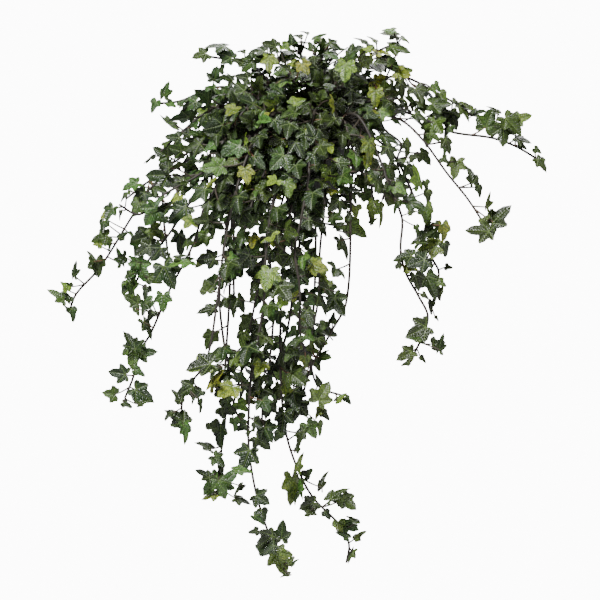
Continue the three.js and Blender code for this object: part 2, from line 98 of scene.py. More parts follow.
# Stems: their feet and the spacing of the solids' leaves, then the fine tubes' steps, sides, roughness, the
# height and width of a swelling where a leaf leaves, and the stem whose bark is pale all along
ROOT_DEPTH = 10
BARE_FOOT = 60
CROWN_FOOT = 42
TRAIL_SPACING = 50
CROWN_SPACING = 25
STEM_STEP = 6
STEM_SIDES = 8
STEM_ROUGHNESS = 0.12
SWELLING = (0.35, 3)
PALE_STEM = "trail_bare"

# Leaves, with lengths in leaf lengths and directions as shares of the ones they are mixed from. The last two
# values say where a solid leaf's point lies above its plane, and how near to that a corner has to be.
LEAF_LENGTH = 38
SIZE_RANGE = (0.8, 1.2)
TIP_SHRINK = 0.45
SHRINK_FROM = 0.55
FIVE_LOBED_FROM = 25
FACE_UP = 0.25
FACE_FRONT = 0.6
FRONT_UNTIL = 40
FACE_SCATTER = 0.55
STALK_OFFSET = 5
STALK_LENGTH = (0.55, 1.25)
STALK_ACROSS = (0.5, 1)
STALK_OUT = (0.15, 0.9)
STALK_AHEAD = (0, 0.6)
LAST_STALK_LENGTH = 0.35
LAST_STALK_SCATTER = 0.35
DROOP = (0.1, 1.1)
SPLAY = (0, 0.5)
BLADE_SCATTER = 0.5
LEAST_AHEAD = 0.25
LEAST_FACING = 0.35
TRIALS = 12
TIP_RISE = -0.1
FOUND_WITHIN = 0.1

# Fine stalks: sides, places along one, tip radius, a small leaf's thickness, bow and sag as shares of the
# length, and where they meet the blade, along it and under it
STALK_SIDES = 5
STALK_PLACES = 6
STALK_TIP_RADIUS = 1.25
THINNEST = 0.8
STALK_BOW = 0.16
STALK_SAG = 0.05
STALK_END = (0.04, 0.25)

# Numbers of the places where leaves grow, which also choose their draws. A stem's stations count from 0, the
# places between them, forks of stalks, a twig's stations and placed leaves from these. Twigs have own seeds.
BETWEEN_NUMBER = 100
FORK_NUMBER = 1000
TWIG_NUMBER = 2000
PLACED_NUMBER = 3000
TWIG_SEED = 200
SHORT_TWIG_SEED = 500

# Stems that trail or arch past the pot: name, angle at the rim, points, leaf size and leafy side
TRAILS = [
    ("left_high", -176, [(-101, -8, 60), (-157, -12, 68), (-213, -15, 46), (-248, -16, 42)], 0.8, 0),
    ("left_low", -169, [(-109, -18, 10), (-197, -25, -46), (-261, -32, -95), (-290, -36, -140),
        (-341, -44, -221), (-379, -50, -264), (-389, -52, -291)], 0.9, 1),
    ("left_shoulder", -162, [(-82, -27, 46), (-117, -35, 44), (-173, -42, 26), (-205, -48, 0),
        (-243, -53, -35)], 1, 0),
    ("left_inner", -155, [(-85, -42, 20), (-141, -55, -32), (-197, -65, -117), (-232, -70, -170),
        (-264, -74, -211), (-285, -76, -248)], 1, 0),
    ("left_outer", -148, [(-109, -60, -16), (-181, -88, -72), (-237, -100, -104), (-277, -105, -136),
        (-309, -108, -120)], 1, 0),
    ("left_mid", -141.5, [(-82, -60, 50), (-141, -95, -16), (-170, -125, -112), (-192, -135, -186),
        (-229, -140, -258), (-258, -143, -325), (-280, -144, -362), (-285, -145, -392),
        (-299, -146, -428)], 1, 0),
    ("trail_left_short", -135, [(-70, -78, 20), (-109, -120, -25), (-157, -150, -96), (-181, -160, -152),
        (-186, -163, -180)], 1, 0),
    ("trail_left_long", -128.5, [(-61, -72, -2), (-95, -104, -64), (-133, -130, -136), (-144, -138, -206),
        (-149, -142, -264), (-141, -145, -344), (-133, -146, -384), (-138, -147, -432), (-141, -148, -480),
        (-147, -149, -520), (-152, -150, -565)], 1, 0),
    ("trail_left_fork", -122, [(-60, -100, 25), (-85, -130, 0), (-117, -160, -80), (-139, -175, -176),
        (-152, -182, -272), (-163, -186, -344), (-173, -188, -376), (-197, -190, -408), (-208, -190, -437),
        (-202, -190, -490)], 1, 0),
    ("trail_inner_left", -115.5, [(-55, -95, -10), (-75, -125, -64), (-95, -137, -112), (-112, -148, -176),
        (-118, -150, -212)], 1, 0),
    ("trail_inner_mid", -109, [(-40, -92, -30), (-61, -120, -112), (-82, -132, -224), (-101, -134, -320),
        (-117, -120, -400), (-130, -115, -448)], 1, 0),
    ("trail_centre_left", -102.5, [(-26, -95, 14), (-37, -125, -32), (-63, -151, -112), (-75, -165, -200),
        (-78, -170, -272), (-88, -175, -336), (-98, -175, -392), (-102, -174, -446), (-102, -173, -506),
        (-91, -172, -576), (-78, -172, -621), (-66, -172, -654), (-48, -172, -700)], 1, 0),
    ("trail_close_left", -96, [(-20, -68, -5), (-37, -85, -72), (-56, -92, -136), (-72, -100, -176),
        (-82, -105, -212)], 1, 0),
    ("trail_centre", -89.5, [(-12, -80, -5), (-21, -95, -32), (-33, -107, -112), (-46, -120, -200),
        (-51, -124, -272), (-51, -128, -406), (-42, -130, -488), (-22, -130, -546), (0, -130, -586),
        (42, -130, -630), (57, -130, -660), (53, -130, -690)], 1, 0),
    ("trail_close", -83, [(3, -80, -16), (-13, -88, -112), (-29, -92, -240), (-45, -95, -336),
        (-77, -98, -416), (-82, -100, -480)], 1, 0),
    ("trail_outer", -76.5, [(8, -75, 32), (0, -110, 20), (-8, -150, -80), (-21, -162, -152),
        (-29, -167, -192), (-21, -170, -256), (-21, -172, -320), (-13, -172, -355)], 1, 0),
    ("trail_centre_right", -70, [(19, -92, -24), (19, -120, -112), (11, -128, -192), (8, -134, -272),
        (-5, -138, -352), (8, -140, -408), (46, -140, -424)], 1, 0),
    ("trail_bare", -60, [(51, -85, 10), (58, -100, -72), (59, -108, -197), (56, -112, -253),
        (50, -115, -285), (32, -112, -317), (16, -106, -346), (-2, -100, -376), (-21, -95, -440)], 0.9, 1),
    ("right_lower", -50, [(70, -85, 22), (107, -115, -50), (122, -130, -96), (141, -142, -141),
        (139, -148, -192), (146, -152, -226), (168, -155, -267), (182, -157, -296), (178, -158, -320),
        (163, -158, -352), (155, -158, -368)], 1, 0),
    ("right_small", -40, [(68, -62, 2), (82, -80, -56), (94, -88, -96), (91, -90, -136)], 0.8, 0),
    ("right_mid", -30, [(94, -55, -10), (130, -72, -43), (160, -88, -106), (181, -98, -155),
        (187, -102, -200), (200, -105, -227), (195, -107, -256), (187, -108, -291)], 1, 0),
    ("right_arch", -18, [(94, -28, 24), (139, -40, 16), (173, -50, -14), (214, -60, -70), (246, -68, -110),
        (275, -74, -154), (288, -76, -172)], 0.85, -1),
    ("right_reach", -6, [(118, -10, 34), (176, -14, 18), (221, -18, -3), (286, -22, -13), (323, -25, -26),
        (355, -27, -45), (368, -28, -55)], 0.85, -1),
    ("right_upper", 7, [(75, 10, 66), (139, 14, 86), (187, 16, 66), (219, 18, 48), (246, 18, 32)], 1, 0),
    ("right_top", 22, [(62, 26, 60), (80, 32, 104), (107, 36, 128), (136, 38, 140)], 0.85, 0),
    ("left_behind", 169, [(-117, 22, 8), (-181, 28, -24), (-229, 32, -56), (-261, 34, -80),
        (-300, 35, -110)], 1, 0),
    ("left_top", 177, [(-64, 4, 66), (-92, 6, 98), (-125, 8, 110), (-162, 8, 117), (-186, 8, 120)], 0.8, 0),
]

# Stems that hang behind: angle at the rim, reach and drop, and their route as shares of those
BACK_TRAILS = [
    (36, 150, 110), (47, 200, 70), (58, 120, 130), (69, 190, 95), (80, 140, 125), (91, 185, 380),
    (102, 125, 290), (113, 180, 430), (124, 120, 230), (135, 195, 410), (146, 150, 280), (157, 262, 190),
]
BACK_ROUTE = [(0.86, 0), (0.97, 0.3), (1, 0.65), (0.98, 1)]
BACK_ARCH = (0.62, 26)
BACK_SWAY = 9

# Short stems of the raised crown, spread like the seeds of a flower head
CROWN_STEMS = 15
GOLDEN_ANGLE = 137.508
CROWN_ROOT_STEP = 5.6
CROWN_REACH = (14, 128)
CROWN_HEIGHT = (138, 40)
CROWN_LEAF = 1.08
CROWN_ROUTE = [(0.12, 0.35), (0.42, 0.85)]
FOOT_HEIGHTS = (-4, 10, 18)
OVER_RIM = 3
ROOT_CIRCLES = (34, 44)

# Side twigs: the stem and the share of its length where each leaves it, its points from there, leaf size
TWIGS = [
    ("trail_left_long", 0.68, [(17, -2, -4), (33, -5, -12)], 0.85),
    ("trail_left_long", 0.72, [(-15, -2, 0), (-24, -5, -11)], 0.8),
    ("trail_inner_mid", 0.72, [(9, -3, -19), (15, -6, -36)], 0.85),
    ("trail_inner_mid", 0.8, [(-15, -3, -11), (-21, -6, -24)], 0.85),
    ("trail_inner_mid", 0.9, [(15, -3, -9), (25, -6, -19)], 0.8),
    ("trail_centre_left", 0.55, [(-13, -3, -8), (-22, -6, -21)], 0.85),
    ("trail_centre_left", 0.6, [(14, -3, -2), (24, -6, -16)], 0.85),
    ("trail_centre_left", 0.7, [(21, -3, -3), (34, -6, -16)], 0.85),
    ("trail_close", 0.76, [(0, -3, -10), (-10, -6, -23)], 0.85),
    ("trail_close", 0.86, [(-6, -3, 1), (-16, -6, -10)], 0.8),
    ("trail_centre", 0.55, [(12, -3, -7), (25, -6, -20)], 0.8),
    ("trail_centre", 0.6, [(24, -4, -11), (40, -8, -22)], 0.8),
    ("trail_centre", 0.66, [(24, -3, -2), (40, -6, -12)], 0.9),
    ("trail_bare", 0.62, [(-12, -3, 31), (-22, -6, 24)], 0.6),
    ("trail_bare", 0.7, [(-18, -4, 20), (-34, -8, 33)], 0.6),
    ("trail_bare", 0.3, [(-11, -4, -3), (-24, -8, -13)], 0.8),
    ("right_upper", 0.5, [(10, -5, 21), (16, -10, 36)], 0.7),
    ("right_upper", 0.62, [(11, -5, -14), (27, -10, -21)], 0.8),
    ("right_top", 0.66, [(17, -6, -2), (33, -12, 7)], 0.85),
    ("left_top", 0.45, [(-5, -6, 36), (-5, -12, 61)], 0.85),
    ("crown_5", 0.8, [(-13, -2, 26), (-17, -4, 48)], 0.75),
    ("crown_2", 0.86, [(-8, 2, 27), (-18, 4, 42)], 0.65),
    ("crown_1", 0.92, [(-2, -2, 20), (-9, -4, 35)], 0.6),
    ("crown_1", 0.98, [(13, -1, 15), (26, -2, 20)], 0.6),
    ("crown_4", 0.9, [(19, 3, 18), (32, 6, 27)], 0.7),
    ("crown_6", 0.9, [(22, -2, 18), (34, -4, 27)], 0.7),
    ("left_outer", 0.62, [(-23, -4, 13), (-35, -8, 19)], 0.6),
]
TWIG_FOOT = 8
TWIG_SPACING = 11
TWIG_PLACES = 9
TWIG_SIDES = 6
TWIG_LEAF_SIZE = 1.2
TWIG_STALK_SHARE = 0.4

# Short twigs by rule round the pot: where they start as a share of the bare foot, their step along the stem,
# length and leaf size, their way out, up and aside, how far behind the pot's middle the place is that they
# grow away from, and their bend and sag
SHORT_TWIG_FROM = 0.8
SHORT_TWIG_STEP = 30
SHORT_TWIG = (18, 34)
SHORT_TWIG_LEAF = 0.75
SHORT_TWIG_OUT = (0.4, 1)
SHORT_TWIG_UP = (-0.2, 0.7)
SHORT_TWIG_ASIDE = (-0.8, 0.8)
SHORT_TWIG_CENTRE = 20
SHORT_TWIG_BEND = 0.55
SHORT_TWIG_SAG = 0.15

# Leaves set one by one where the photo shows them, by stem: the share of the stem's length where the stalk
# leaves it, the blade's foot across and up, its heading in degrees from the right, its length, its turn
# about its midrib and its lean to the front in degrees, and where they are given its tone (or None) and the
# solids' leaf that it stands for
PLACED = {
    "right_reach": [
        (0.67, 275, 3, 69, 38, 10, 10, 0.42, 3), (0.86, 322, 14, 21, 29, 15, 0, 0.62),
        (0.78, 307, 18, -43, 38, 35, 10, 0.38, 4), (0.75, 304, 5, -90, 34, 10, 10, 0.3),
        (0.83, 325, -13, -17, 28, 60, 0, 0.15), (0.85, 331, -24, -30, 14, 30, 0, 0.2),
        (0.96, 354, -30, -32, 16, 40, 0, 0.35, 5), (0.95, 358, -48, -48, 25, 35, 0, 0.35, 6),
        (0.49, 195, 14, -116, 47, 45, 10, 0.48), (0.55, 219, 6, -120, 24, 45, 0),
        (0.76, 296, 26, 140, 24, 63, 0),
    ],
    "right_arch": [
        (0.51, 206, -19, -77, 29, 60, 0, 0.5), (0.51, 210, -16, -65, 28, 45, 0, 0.2),
        (0.59, 229, -50, -103, 32, 25, 10, 0.5, 3), (0.74, 254, -86, 106, 31, 50, 0, 0.15),
        (0.74, 264, -91, -81, 22, 50, 0, 0.15, 4), (0.84, 277, -125, 80, 29, 72, 0, 0.35),
        (0.85, 286, -149, 47, 40, 25, 10, 0.2, 5), (0.9, 269, -149, 48, 20, 35, 0, 0.48),
        (0.95, 280, -163, 175, 41, 40, 0, 0.22), (0.93, 283, -152, -70, 20, 20, 0, 0.2, 6),
        (0.235, 100, 62, -90, 27, 0, 0, 0.85, 0), (0.61, 206, -45, -40, 15, 0, 0),
    ],
    "right_upper": [
        (0.88, 224, 48, -29, 17, 55, 0, 0.15), (0.93, 234, 37, -47, 30, 60, 0, 0.45, 5),
        (0.75, 194, 74, -49, 18, 20, 0, 0.5, 3), (0.8, 203, 59, -56, 24, 20, 0, 0.5, 4),
        (0.91, 221, 27, -71, 30, 25, 0, 0.12), (0.86, 205, 29, -62, 29, 15, 0, 0.1),
        (0.54, 134, 93, -15, 27, 0, 15, 0.88, 2), (0.41, 99, 78, -28, 29, 0, 10, 0.88, 1),
        (0.42, 109, 59, -90, 24, 20, 0, 0.75), (0.81, 190, 42, 0, 37, 45, 0),
        (0.56, 139, 77, -80, 30, 45, 0), (1.0, 254, 22, 20, 30, 63, 0), (0.98, 251, 32, 140, 24, 63, 0),
        (0.3, 70, 50, -60, 28, 0, 0, 0.02),
    ],
    "right_mid": [
        (0.34, 146, -19, -77, 29, 60, 0, 0.4), (0.41, 150, -58, -55, 33, 55, 0, 0.13, 2),
        (0.49, 178, -83, -76, 21, 45, 0, 0.35), (0.57, 178, -123, -84, 31, 35, 0, 0.66),
        (0.65, 194, -149, -63, 15, 20, 0, 0.2), (0.66, 205, -152, -84, 31, 50, 0, 0.78, 4),
        (0.68, 198, -163, -138, 25, 150, 0, 0.5), (0.72, 208, -181, -78, 24, 30, 10, 0.12),
        (0.79, 197, -187, -169, 36, 30, 0, 0.64), (0.72, 170, -162, -107, 18, 30, 0, 0.35),
        (0.84, 211, -219, -8, 14, 10, 30, 0.12), (0.81, 180, -234, -64, 42, 35, 10, 0.32),
        (0.86, 200, -242, -37, 18, 10, 20, 0.52, 6), (0.94, 189, -274, -99, 22, 50, 0, 0.2, 7),
        (0.98, 194, -299, -45, 10, 40, 0, 0.15), (0.73, 165, -182, 40, 37, 63, 0),
        (0.3, 110, -10, -20, 37, 63, 0), (0.52, 168, -90, 100, 37, 63, 0), (0.55, 181, -99, -80, 24, 45, 0),
        (0.66, 181, -163, 80, 30, 63, 0), (0.92, 203, -253, -100, 24, 45, 0),
        (0.43, 146, -51, 180, 24, 63, 0),
    ],
    "right_lower": [
        (0.65, 157, -202, -174, 32, 45, 0, 0.15), (0.7, 177, -208, -161, 33, 20, 0, 0.03, 6),
        (0.55, 163, -154, -79, 17, 45, 0, 0.4, 5), (0.72, 162, -232, -76, 28, 25, 0, 0.08, 7),
        (0.9, 179, -315, -155, 39, 10, 0, 0.2, 9), (0.94, 190, -342, 9, 24, 0, 30, 0.12, 8),
        (0.96, 157, -354, -153, 30, 10, 0, 0.42, 10), (0.96, 170, -363, -45, 14, 40, 0, 0.22),
        (0.94, 200, -352, 80, 30, 63, 0), (0.68, 136, -221, 80, 19, 45, 0),
        (0.325, 88, -22, -80, 34, 40, 0, 0.7), (0.68, 146, -224, 0, 24, 45, 0),
        (0.99, 152, -371, -160, 15, 45, 0), (0.48, 136, -115, -120, 24, 63, 0),
        (0.54, 152, -134, 20, 15, 45, 0), (0.78, 174, -262, -40, 15, 45, 0),
        (0.92, 168, -339, 160, 24, 63, 0),
    ],
    "right_small": [
        (0.88, 96, -117, -102, 33, 50, 0, 0.5, 3), (0.9, 107, -123, -85, 36, 68, 0, 0.72),
        (1.0, 91, -150, 40, 15, 45, 0),
    ],
    "right_top": [
        (1.0, 134, 152, 166, 28, 58, 0, 0.28, 2), (1.0, 142, 149, -31, 20, 68, 0, 0.45, 3),
        (0.91, 125, 134, -11, 34, 50, 0, 0.4), (0.83, 120, 110, -31, 20, 20, 10, 0.62),
        (0.71, 82, 123, 128, 19, 20, 0, 0.6), (0.77, 85, 141, 153, 23, 65, 0, 0.2),
        (0.77, 94, 130, 138, 23, 65, 0, 0.2), (0.83, 102, 142, 142, 19, 65, 0, 0.45),
        (0.86, 98, 125, 0, 30, 63, 0), (1.0, 130, 160, 180, 24, 63, 0),
    ],
    "crown_2": [
        (0.95, -34, 136, 94, 22, 15, 0, 0.2), (0.95, -18, 149, 167, 16, 55, 0, 0.2),
        (0.95, -8, 154, 159, 14, 68, 0, 0.2),
    ],
    "crown_1": [
        (0.96, 2, 144, 36, 23, 60, 0, 0.45), (0.94, 19, 133, 101, 17, 20, 0, 0.42),
        (0.96, 26, 139, -32, 26, 55, 0, 0.12),
    ],
    "left_high": [
        (0.97, -250, 46, -115, 24, 35, 0, 0.42, 4), (0.93, -238, 54, 80, 29, 50, 0, 0.35),
        (0.91, -232, 43, -24, 17, 30, 0, 0.58), (0.75, -186, 46, -152, 29, 20, 0, 0.35, 3),
        (0.61, -157, 62, -147, 28, 15, 0, 0.42, 2), (0.51, -130, 62, -139, 31, 15, 0, 0.36),
        (0.65, -158, 80, 77, 26, 0, 30, 0.35), (0.84, -213, 38, 40, 19, 45, 0),
        (0.55, -133, 80, 40, 15, 45, 0, None, 1),
    ],
    "left_top": [
        (0.91, -171, 122, -165, 26, 30, 0, 0.35, 4), (0.8, -141, 134, 175, 37, 68, 0, 0.15),
        (0.75, -131, 115, 152, 29, 30, 0, 0.25, 3), (0.67, -109, 125, 174, 15, 55, 0, 0.08),
        (0.66, -112, 107, 156, 20, 10, 0, 0.22), (0.61, -96, 112, -135, 26, 10, 0, 0.4, 2),
        (0.83, -149, 93, 60, 15, 0, 0),
    ],
    "crown_5": [
        (0.95, -59, 133, 164, 25, 10, 10, 0.2), (1.0, -78, 125, 180, 30, 63, 0),
        (0.95, -70, 116, -90, 27, 0, 5, 0.88),
    ],
    "left_low": [
        (0.54, -280, -86, -159, 29, 35, 0, 0.6, 4), (0.55, -269, -101, -142, 28, 5, 0, 0.12),
        (0.58, -278, -117, -120, 27, 30, 0, 0.45), (0.71, -333, -146, -107, 23, 35, 0, 0.3, 5),
        (0.72, -328, -170, -162, 27, 5, 0, 0.44, 6), (0.74, -325, -181, -90, 15, 55, 0, 0.62),
        (0.8, -346, -208, -81, 32, 20, 0, 0.32, 7), (0.8, -350, -211, 110, 20, 55, 0, 0.35),
        (0.9, -381, -234, 87, 29, 65, 0, 0.12), (0.9, -386, -251, 153, 15, 0, 0, 0.12, 8),
        (0.96, -397, -272, 144, 31, 45, 0, 0.5), (0.95, -387, -274, 122, 22, 50, 0, 0.15),
        (0.98, -389, -290, 126, 14, 55, 0, 0.15), (0.98, -386, -286, -77, 22, 35, 0, 0.3, 9),
        (0.69, -286, -170, -80, 37, 63, 0), (0.79, -306, -214, 100, 30, 63, 0),
        (0.77, -338, -186, 160, 15, 45, 0), (0.69, -334, -141, 80, 15, 45, 0),
        (0.7, -309, -173, 40, 19, 45, 0), (0.94, -392, -256, 120, 19, 45, 0),
    ],
    "left_outer": [
        (0.97, -296, -104, -131, 18, 60, 0, 0.3), (0.98, -318, -125, -122, 26, 25, 0, 0.34, 6),
        (0.96, -306, -130, -101, 17, 65, 0, 0.1, 5), (0.86, -251, -125, -120, 37, 0, 0),
        (0.78, -229, -122, -160, 37, 63, 0), (0.71, -213, -106, -140, 24, 45, 0),
        (0.71, -210, -99, 20, 19, 0, 0),
    ],
    "left_inner": [
        (0.92, -299, -203, -172, 24, 0, 60, 0.15), (0.8, -261, -170, -163, 35, 0, 0, 0.24, 5),
        (0.83, -259, -186, -149, 29, 20, 0, 0.15), (0.83, -242, -189, -128, 28, 0, 0, 0.04),
        (0.77, -258, -158, -33, 28, 10, 0, 0.62), (0.91, -280, -213, -59, 39, 0, 0, 0.53, 6),
        (0.98, -288, -246, 175, 20, 40, 0, 0.52), (0.98, -293, -246, -86, 22, 45, 0, 0.45, 7),
        (0.99, -264, -251, -107, 23, 30, 0, 0.1), (0.74, -214, -166, -82, 36, 50, 0, 0.1),
        (0.9, -282, -211, 139, 17, 30, 20, 0.5), (0.95, -291, -229, -135, 14, 20, 0, 0.35),
        (0.95, -261, -237, -20, 24, 0, 0), (1.0, -293, -256, 80, 37, 45, 0),
        (0.72, -232, -144, 180, 19, 45, 0),
    ],
    "left_mid": [
        (0.66, -237, -218, -65, 44, 0, 0, 0.2, 7), (0.6, -195, -210, -177, 37, 62, 0, 0.66),
        (0.57, -168, -170, -144, 31, 25, 0, 0.6, 6), (0.72, -238, -264, -90, 29, 0, 0, 0.53, 8),
        (0.78, -256, -272, -159, 23, 30, 0, 0.35), (0.78, -264, -277, -115, 24, 45, 0, 0.2),
        (0.77, -282, -286, -60, 14, 30, 0, 0.4), (0.81, -269, -306, -57, 34, 62, 0, 0.15),
        (0.86, -286, -347, 117, 30, 35, 0, 0.15), (0.87, -282, -350, 48, 23, 30, 0, 0.12),
        (0.87, -275, -357, 7, 29, 10, 10, 0.25, 10), (0.88, -285, -347, -95, 39, 25, 0, 0.5),
        (0.92, -283, -384, -29, 21, 30, 0, 0.35), (0.94, -298, -390, 171, 31, 0, 0, 0.12, 11),
        (0.97, -314, -422, 171, 25, 0, 35, 0.52), (0.97, -282, -414, -34, 36, 10, 0, 0.22),
        (0.99, -302, -435, -27, 19, 40, 0, 0.2, 12), (1.0, -277, -438, 20, 24, 63, 0),
        (0.63, -219, -205, 20, 24, 63, 0), (0.77, -254, -291, -120, 19, 0, 0),
    ],
    "trail_left_long": [
        (0.46, -157, -206, -174, 31, 0, 0, 0.05, 5), (0.51, -157, -248, -160, 20, 0, 10, 0.05),
        (0.58, -158, -286, -167, 31, 50, 0, 0.05), (0.97, -152, -555, -131, 38, 10, 0, 0.58, 12),
        (0.98, -149, -558, -72, 32, 10, 0, 0.45), (0.99, -146, -565, 41, 36, 15, 0, 0.42),
        (0.97, -165, -554, 148, 26, 45, 0, 0.1), (0.92, -157, -520, -42, 25, 20, 0, 0.4, 11),
        (0.94, -146, -534, -79, 17, 30, 0, 0.15), (0.85, -146, -470, -92, 42, 60, 0, 0.08, 10),
        (1.0, -122, -587, -16, 25, 50, 0, 0.2), (0.98, -112, -566, -135, 24, 60, 0, 0.15),
        (0.91, -163, -509, 153, 30, 62, 0, 0.2), (0.78, -162, -410, 60, 37, 63, 0, None, 9),
        (0.83, -146, -442, -20, 30, 0, 0), (0.76, -133, -390, -160, 30, 45, 0, None, 7),
        (1.0, -152, -579, -160, 30, 63, 0), (0.87, -162, -477, 60, 24, 0, 0),
        (0.4, -142, -147, 60, 15, 45, 0),
    ],
    "trail_left_fork": [
        (0.8, -162, -374, -170, 46, 45, 0, 0.04, 9), (0.86, -190, -408, -147, 34, 0, 0, 0.27, 10),
        (0.86, -176, -416, -131, 18, 20, 0, 0.08), (0.88, -179, -430, -82, 24, 65, 0, 0.2),
        (0.88, -189, -426, -104, 14, 60, 0, 0.3), (0.95, -205, -466, 141, 37, 30, 0, 0.12),
        (0.93, -224, -451, -139, 18, 40, 0, 0.12, 11), (0.96, -206, -470, -79, 34, 58, 0, 0.62, 12),
        (0.8, -158, -365, 60, 24, 0, 0, None, 8), (0.64, -168, -259, 100, 24, 0, 0, None, 7),
        (0.93, -210, -432, 120, 24, 45, 0), (0.345, -108, -64, -80, 28, 0, 5, 0.9),
    ],
    "trail_inner_mid": [
        (0.99, -110, -461, -168, 24, 20, 10, 0.5, 10), (0.99, -106, -470, -151, 21, 10, 0, 0.1),
        (0.68, -120, -269, -60, 30, 45, 0, None, 7), (0.78, -110, -323, -100, 30, 45, 0),
        (0.99, -120, -435, -40, 24, 0, 0), (1.0, -126, -461, -80, 24, 45, 0),
        (0.65, -85, -272, -120, 15, 45, 0), (0.92, -107, -406, -120, 24, 45, 0),
    ],
    "trail_close": [
        (0.99, -90, -490, -41, 31, 10, 0, 0.22), (0.92, -82, -438, -22, 31, 45, 0, 0.35),
        (0.96, -82, -464, -114, 20, 30, 0, 0.08), (0.48, -14, -186, 40, 19, 0, 0),
    ],
    "trail_centre_left": [
        (0.75, -101, -510, -112, 40, 10, 0, 0.13, 11), (0.84, -90, -582, -33, 30, 0, 20, 0.13, 12),
        (0.87, -82, -605, -73, 23, 20, 0, 0.1), (0.88, -86, -614, -146, 12, 20, 0, 0.1, 13),
        (0.92, -88, -638, -169, 17, 0, 0, 0.15), (0.94, -50, -651, 87, 32, 20, 0, 0.15),
        (0.92, -64, -646, -143, 34, 0, 0, 0.1), (0.94, -62, -661, -140, 26, 35, 0, 0.1),
        (0.96, -58, -672, -67, 42, 15, 0, 0.62, 15), (0.99, -34, -693, 45, 17, 62, 0, 0.5),
        (0.99, -37, -707, -163, 18, 65, 0, 0.3), (0.8, -123, -544, 0, 30, 63, 0, None, 14),
        (0.44, -91, -246, -120, 24, 45, 0, None, 7), (0.99, -40, -688, 40, 15, 0, 0),
        (0.96, -78, -672, 140, 19, 0, 0), (0.88, -94, -614, -40, 24, 45, 0),
    ],
    "trail_centre": [
        (0.77, -34, -554, -86, 46, 50, 0, 0.62, 11), (0.77, -24, -542, 76, 28, 60, 0, 0.6),
        (0.8, -16, -562, -96, 31, 70, 0, 0.6), (0.79, -13, -552, 45, 20, 20, 20, 0.12, 12),
        (0.8, 14, -571, 77, 31, 68, 0, 0.15), (0.84, 2, -594, -156, 29, 0, 0, 0.13),
        (0.87, 45, -590, 175, 22, 0, 20, 0.12), (0.87, 48, -586, -43, 30, 0, 0, 0.42, 14),
        (0.87, 19, -608, -56, 18, 20, 0, 0.12, 13), (0.91, 50, -629, -21, 25, 0, 20, 0.4),
        (0.94, 56, -650, 150, 23, 45, 0, 0.13), (0.96, 67, -651, 39, 24, 50, 0, 0.66),
        (0.97, 64, -670, -118, 25, 65, 0, 0.5, 15), (0.72, -10, -469, -56, 30, 10, 0, 0.5, 10),
        (0.7, -14, -480, -111, 33, 55, 0, 0.12), (0.64, -24, -435, -114, 41, 10, 0, 0.06),
        (0.66, -46, -451, -99, 41, 40, 0, 0.08), (0.48, -53, -291, -100, 24, 0, 0, None, 6),
        (0.87, 27, -589, 40, 37, 63, 0), (0.71, -53, -483, -120, 19, 0, 0), (0.9, 40, -624, -80, 24, 0, 0),
        (0.37, -43, -224, -100, 19, 0, 0), (0.82, -21, -579, -120, 24, 63, 0),
        (0.74, -27, -512, 80, 24, 63, 0), (0.86, -11, -611, 0, 19, 45, 0), (0.93, 69, -627, 140, 24, 63, 0),
        (0.51, -43, -320, 120, 15, 0, 0),
    ],
    "trail_centre_right": [
        (0.94, 14, -450, -45, 19, 15, 0, 0.13), (0.94, 13, -445, -126, 23, 50, 0, 0.68),
        (0.94, 8, -432, 60, 37, 0, 0), (0.63, 8, -266, -60, 37, 63, 0, None, 4),
        (0.98, 37, -432, 40, 24, 63, 0), (0.44, 34, -154, 20, 24, 63, 0),
        (0.3, 28, -60, -62, 42, 0, 5, 0.8), (0.43, 14, -157, -60, 19, 45, 0), (0.33, 24, -99, 0, 24, 63, 0),
        (0.9, 8, -406, 100, 19, 45, 0),
    ],
    "trail_left_short": [
        (0.76, -171, -96, -140, 37, 45, 0), (1.0, -200, -186, 60, 30, 63, 0, None, 6),
    ],
    "trail_bare": [
        (0.49, 43, -176, -60, 37, 63, 0), (0.76, 27, -330, 140, 37, 63, 0), (1.0, 8, -467, -80, 24, 45, 0),
        (0.35, 46, -96, 0, 30, 63, 0), (0.76, 30, -307, 80, 19, 45, 0), (0.35, 69, -99, -60, 15, 45, 0),
        (0.42, 53, -125, 120, 19, 45, 0),
    ],
    "left_behind": [
        (0.84, -258, -90, -20, 30, 45, 0, None, 5), (0.62, -232, -48, -150, 22, 20, 0, 0.15, 3),
    ],
    "trail_outer": [
        (0.86, -27, -278, -80, 19, 45, 0), (0.98, -21, -336, -160, 30, 63, 0),
    ],
    "trail_inner_left": [
        (0.89, -110, -166, -120, 30, 45, 0),
    ],
    "left_shoulder": [
        (0.82, -213, -13, 175, 24, 15, 0, 0.2, 3), (0.8, -190, 3, 60, 15, 0, 0, None, 4),
        (0.93, -238, -26, 40, 15, 45, 0),
    ],
    "crown_11": [
        (0.97, 53, 104, -95, 32, 0, 5, 0.8),
    ],
    "crown_8": [
        (0.8, -18, 106, -60, 25, 0, 10, 0.85),
    ],
    "crown_14": [
        (0.6, 62, 64, -90, 29, 20, 0, 0.02), (0.5, 52, 52, -100, 27, 30, 0, 0.03),
    ],
    "crown_6": [
        (0.6, 45, 66, -80, 27, 20, 0, 0.04),
    ],
}

# How far they stand before their stem, as a length and as a share of their way from it, and the steps
# forward for one that would cross another
PLACED_AHEAD = (4, 0.2)
PLACED_STEP = 4
PLACED_STEPS = 8

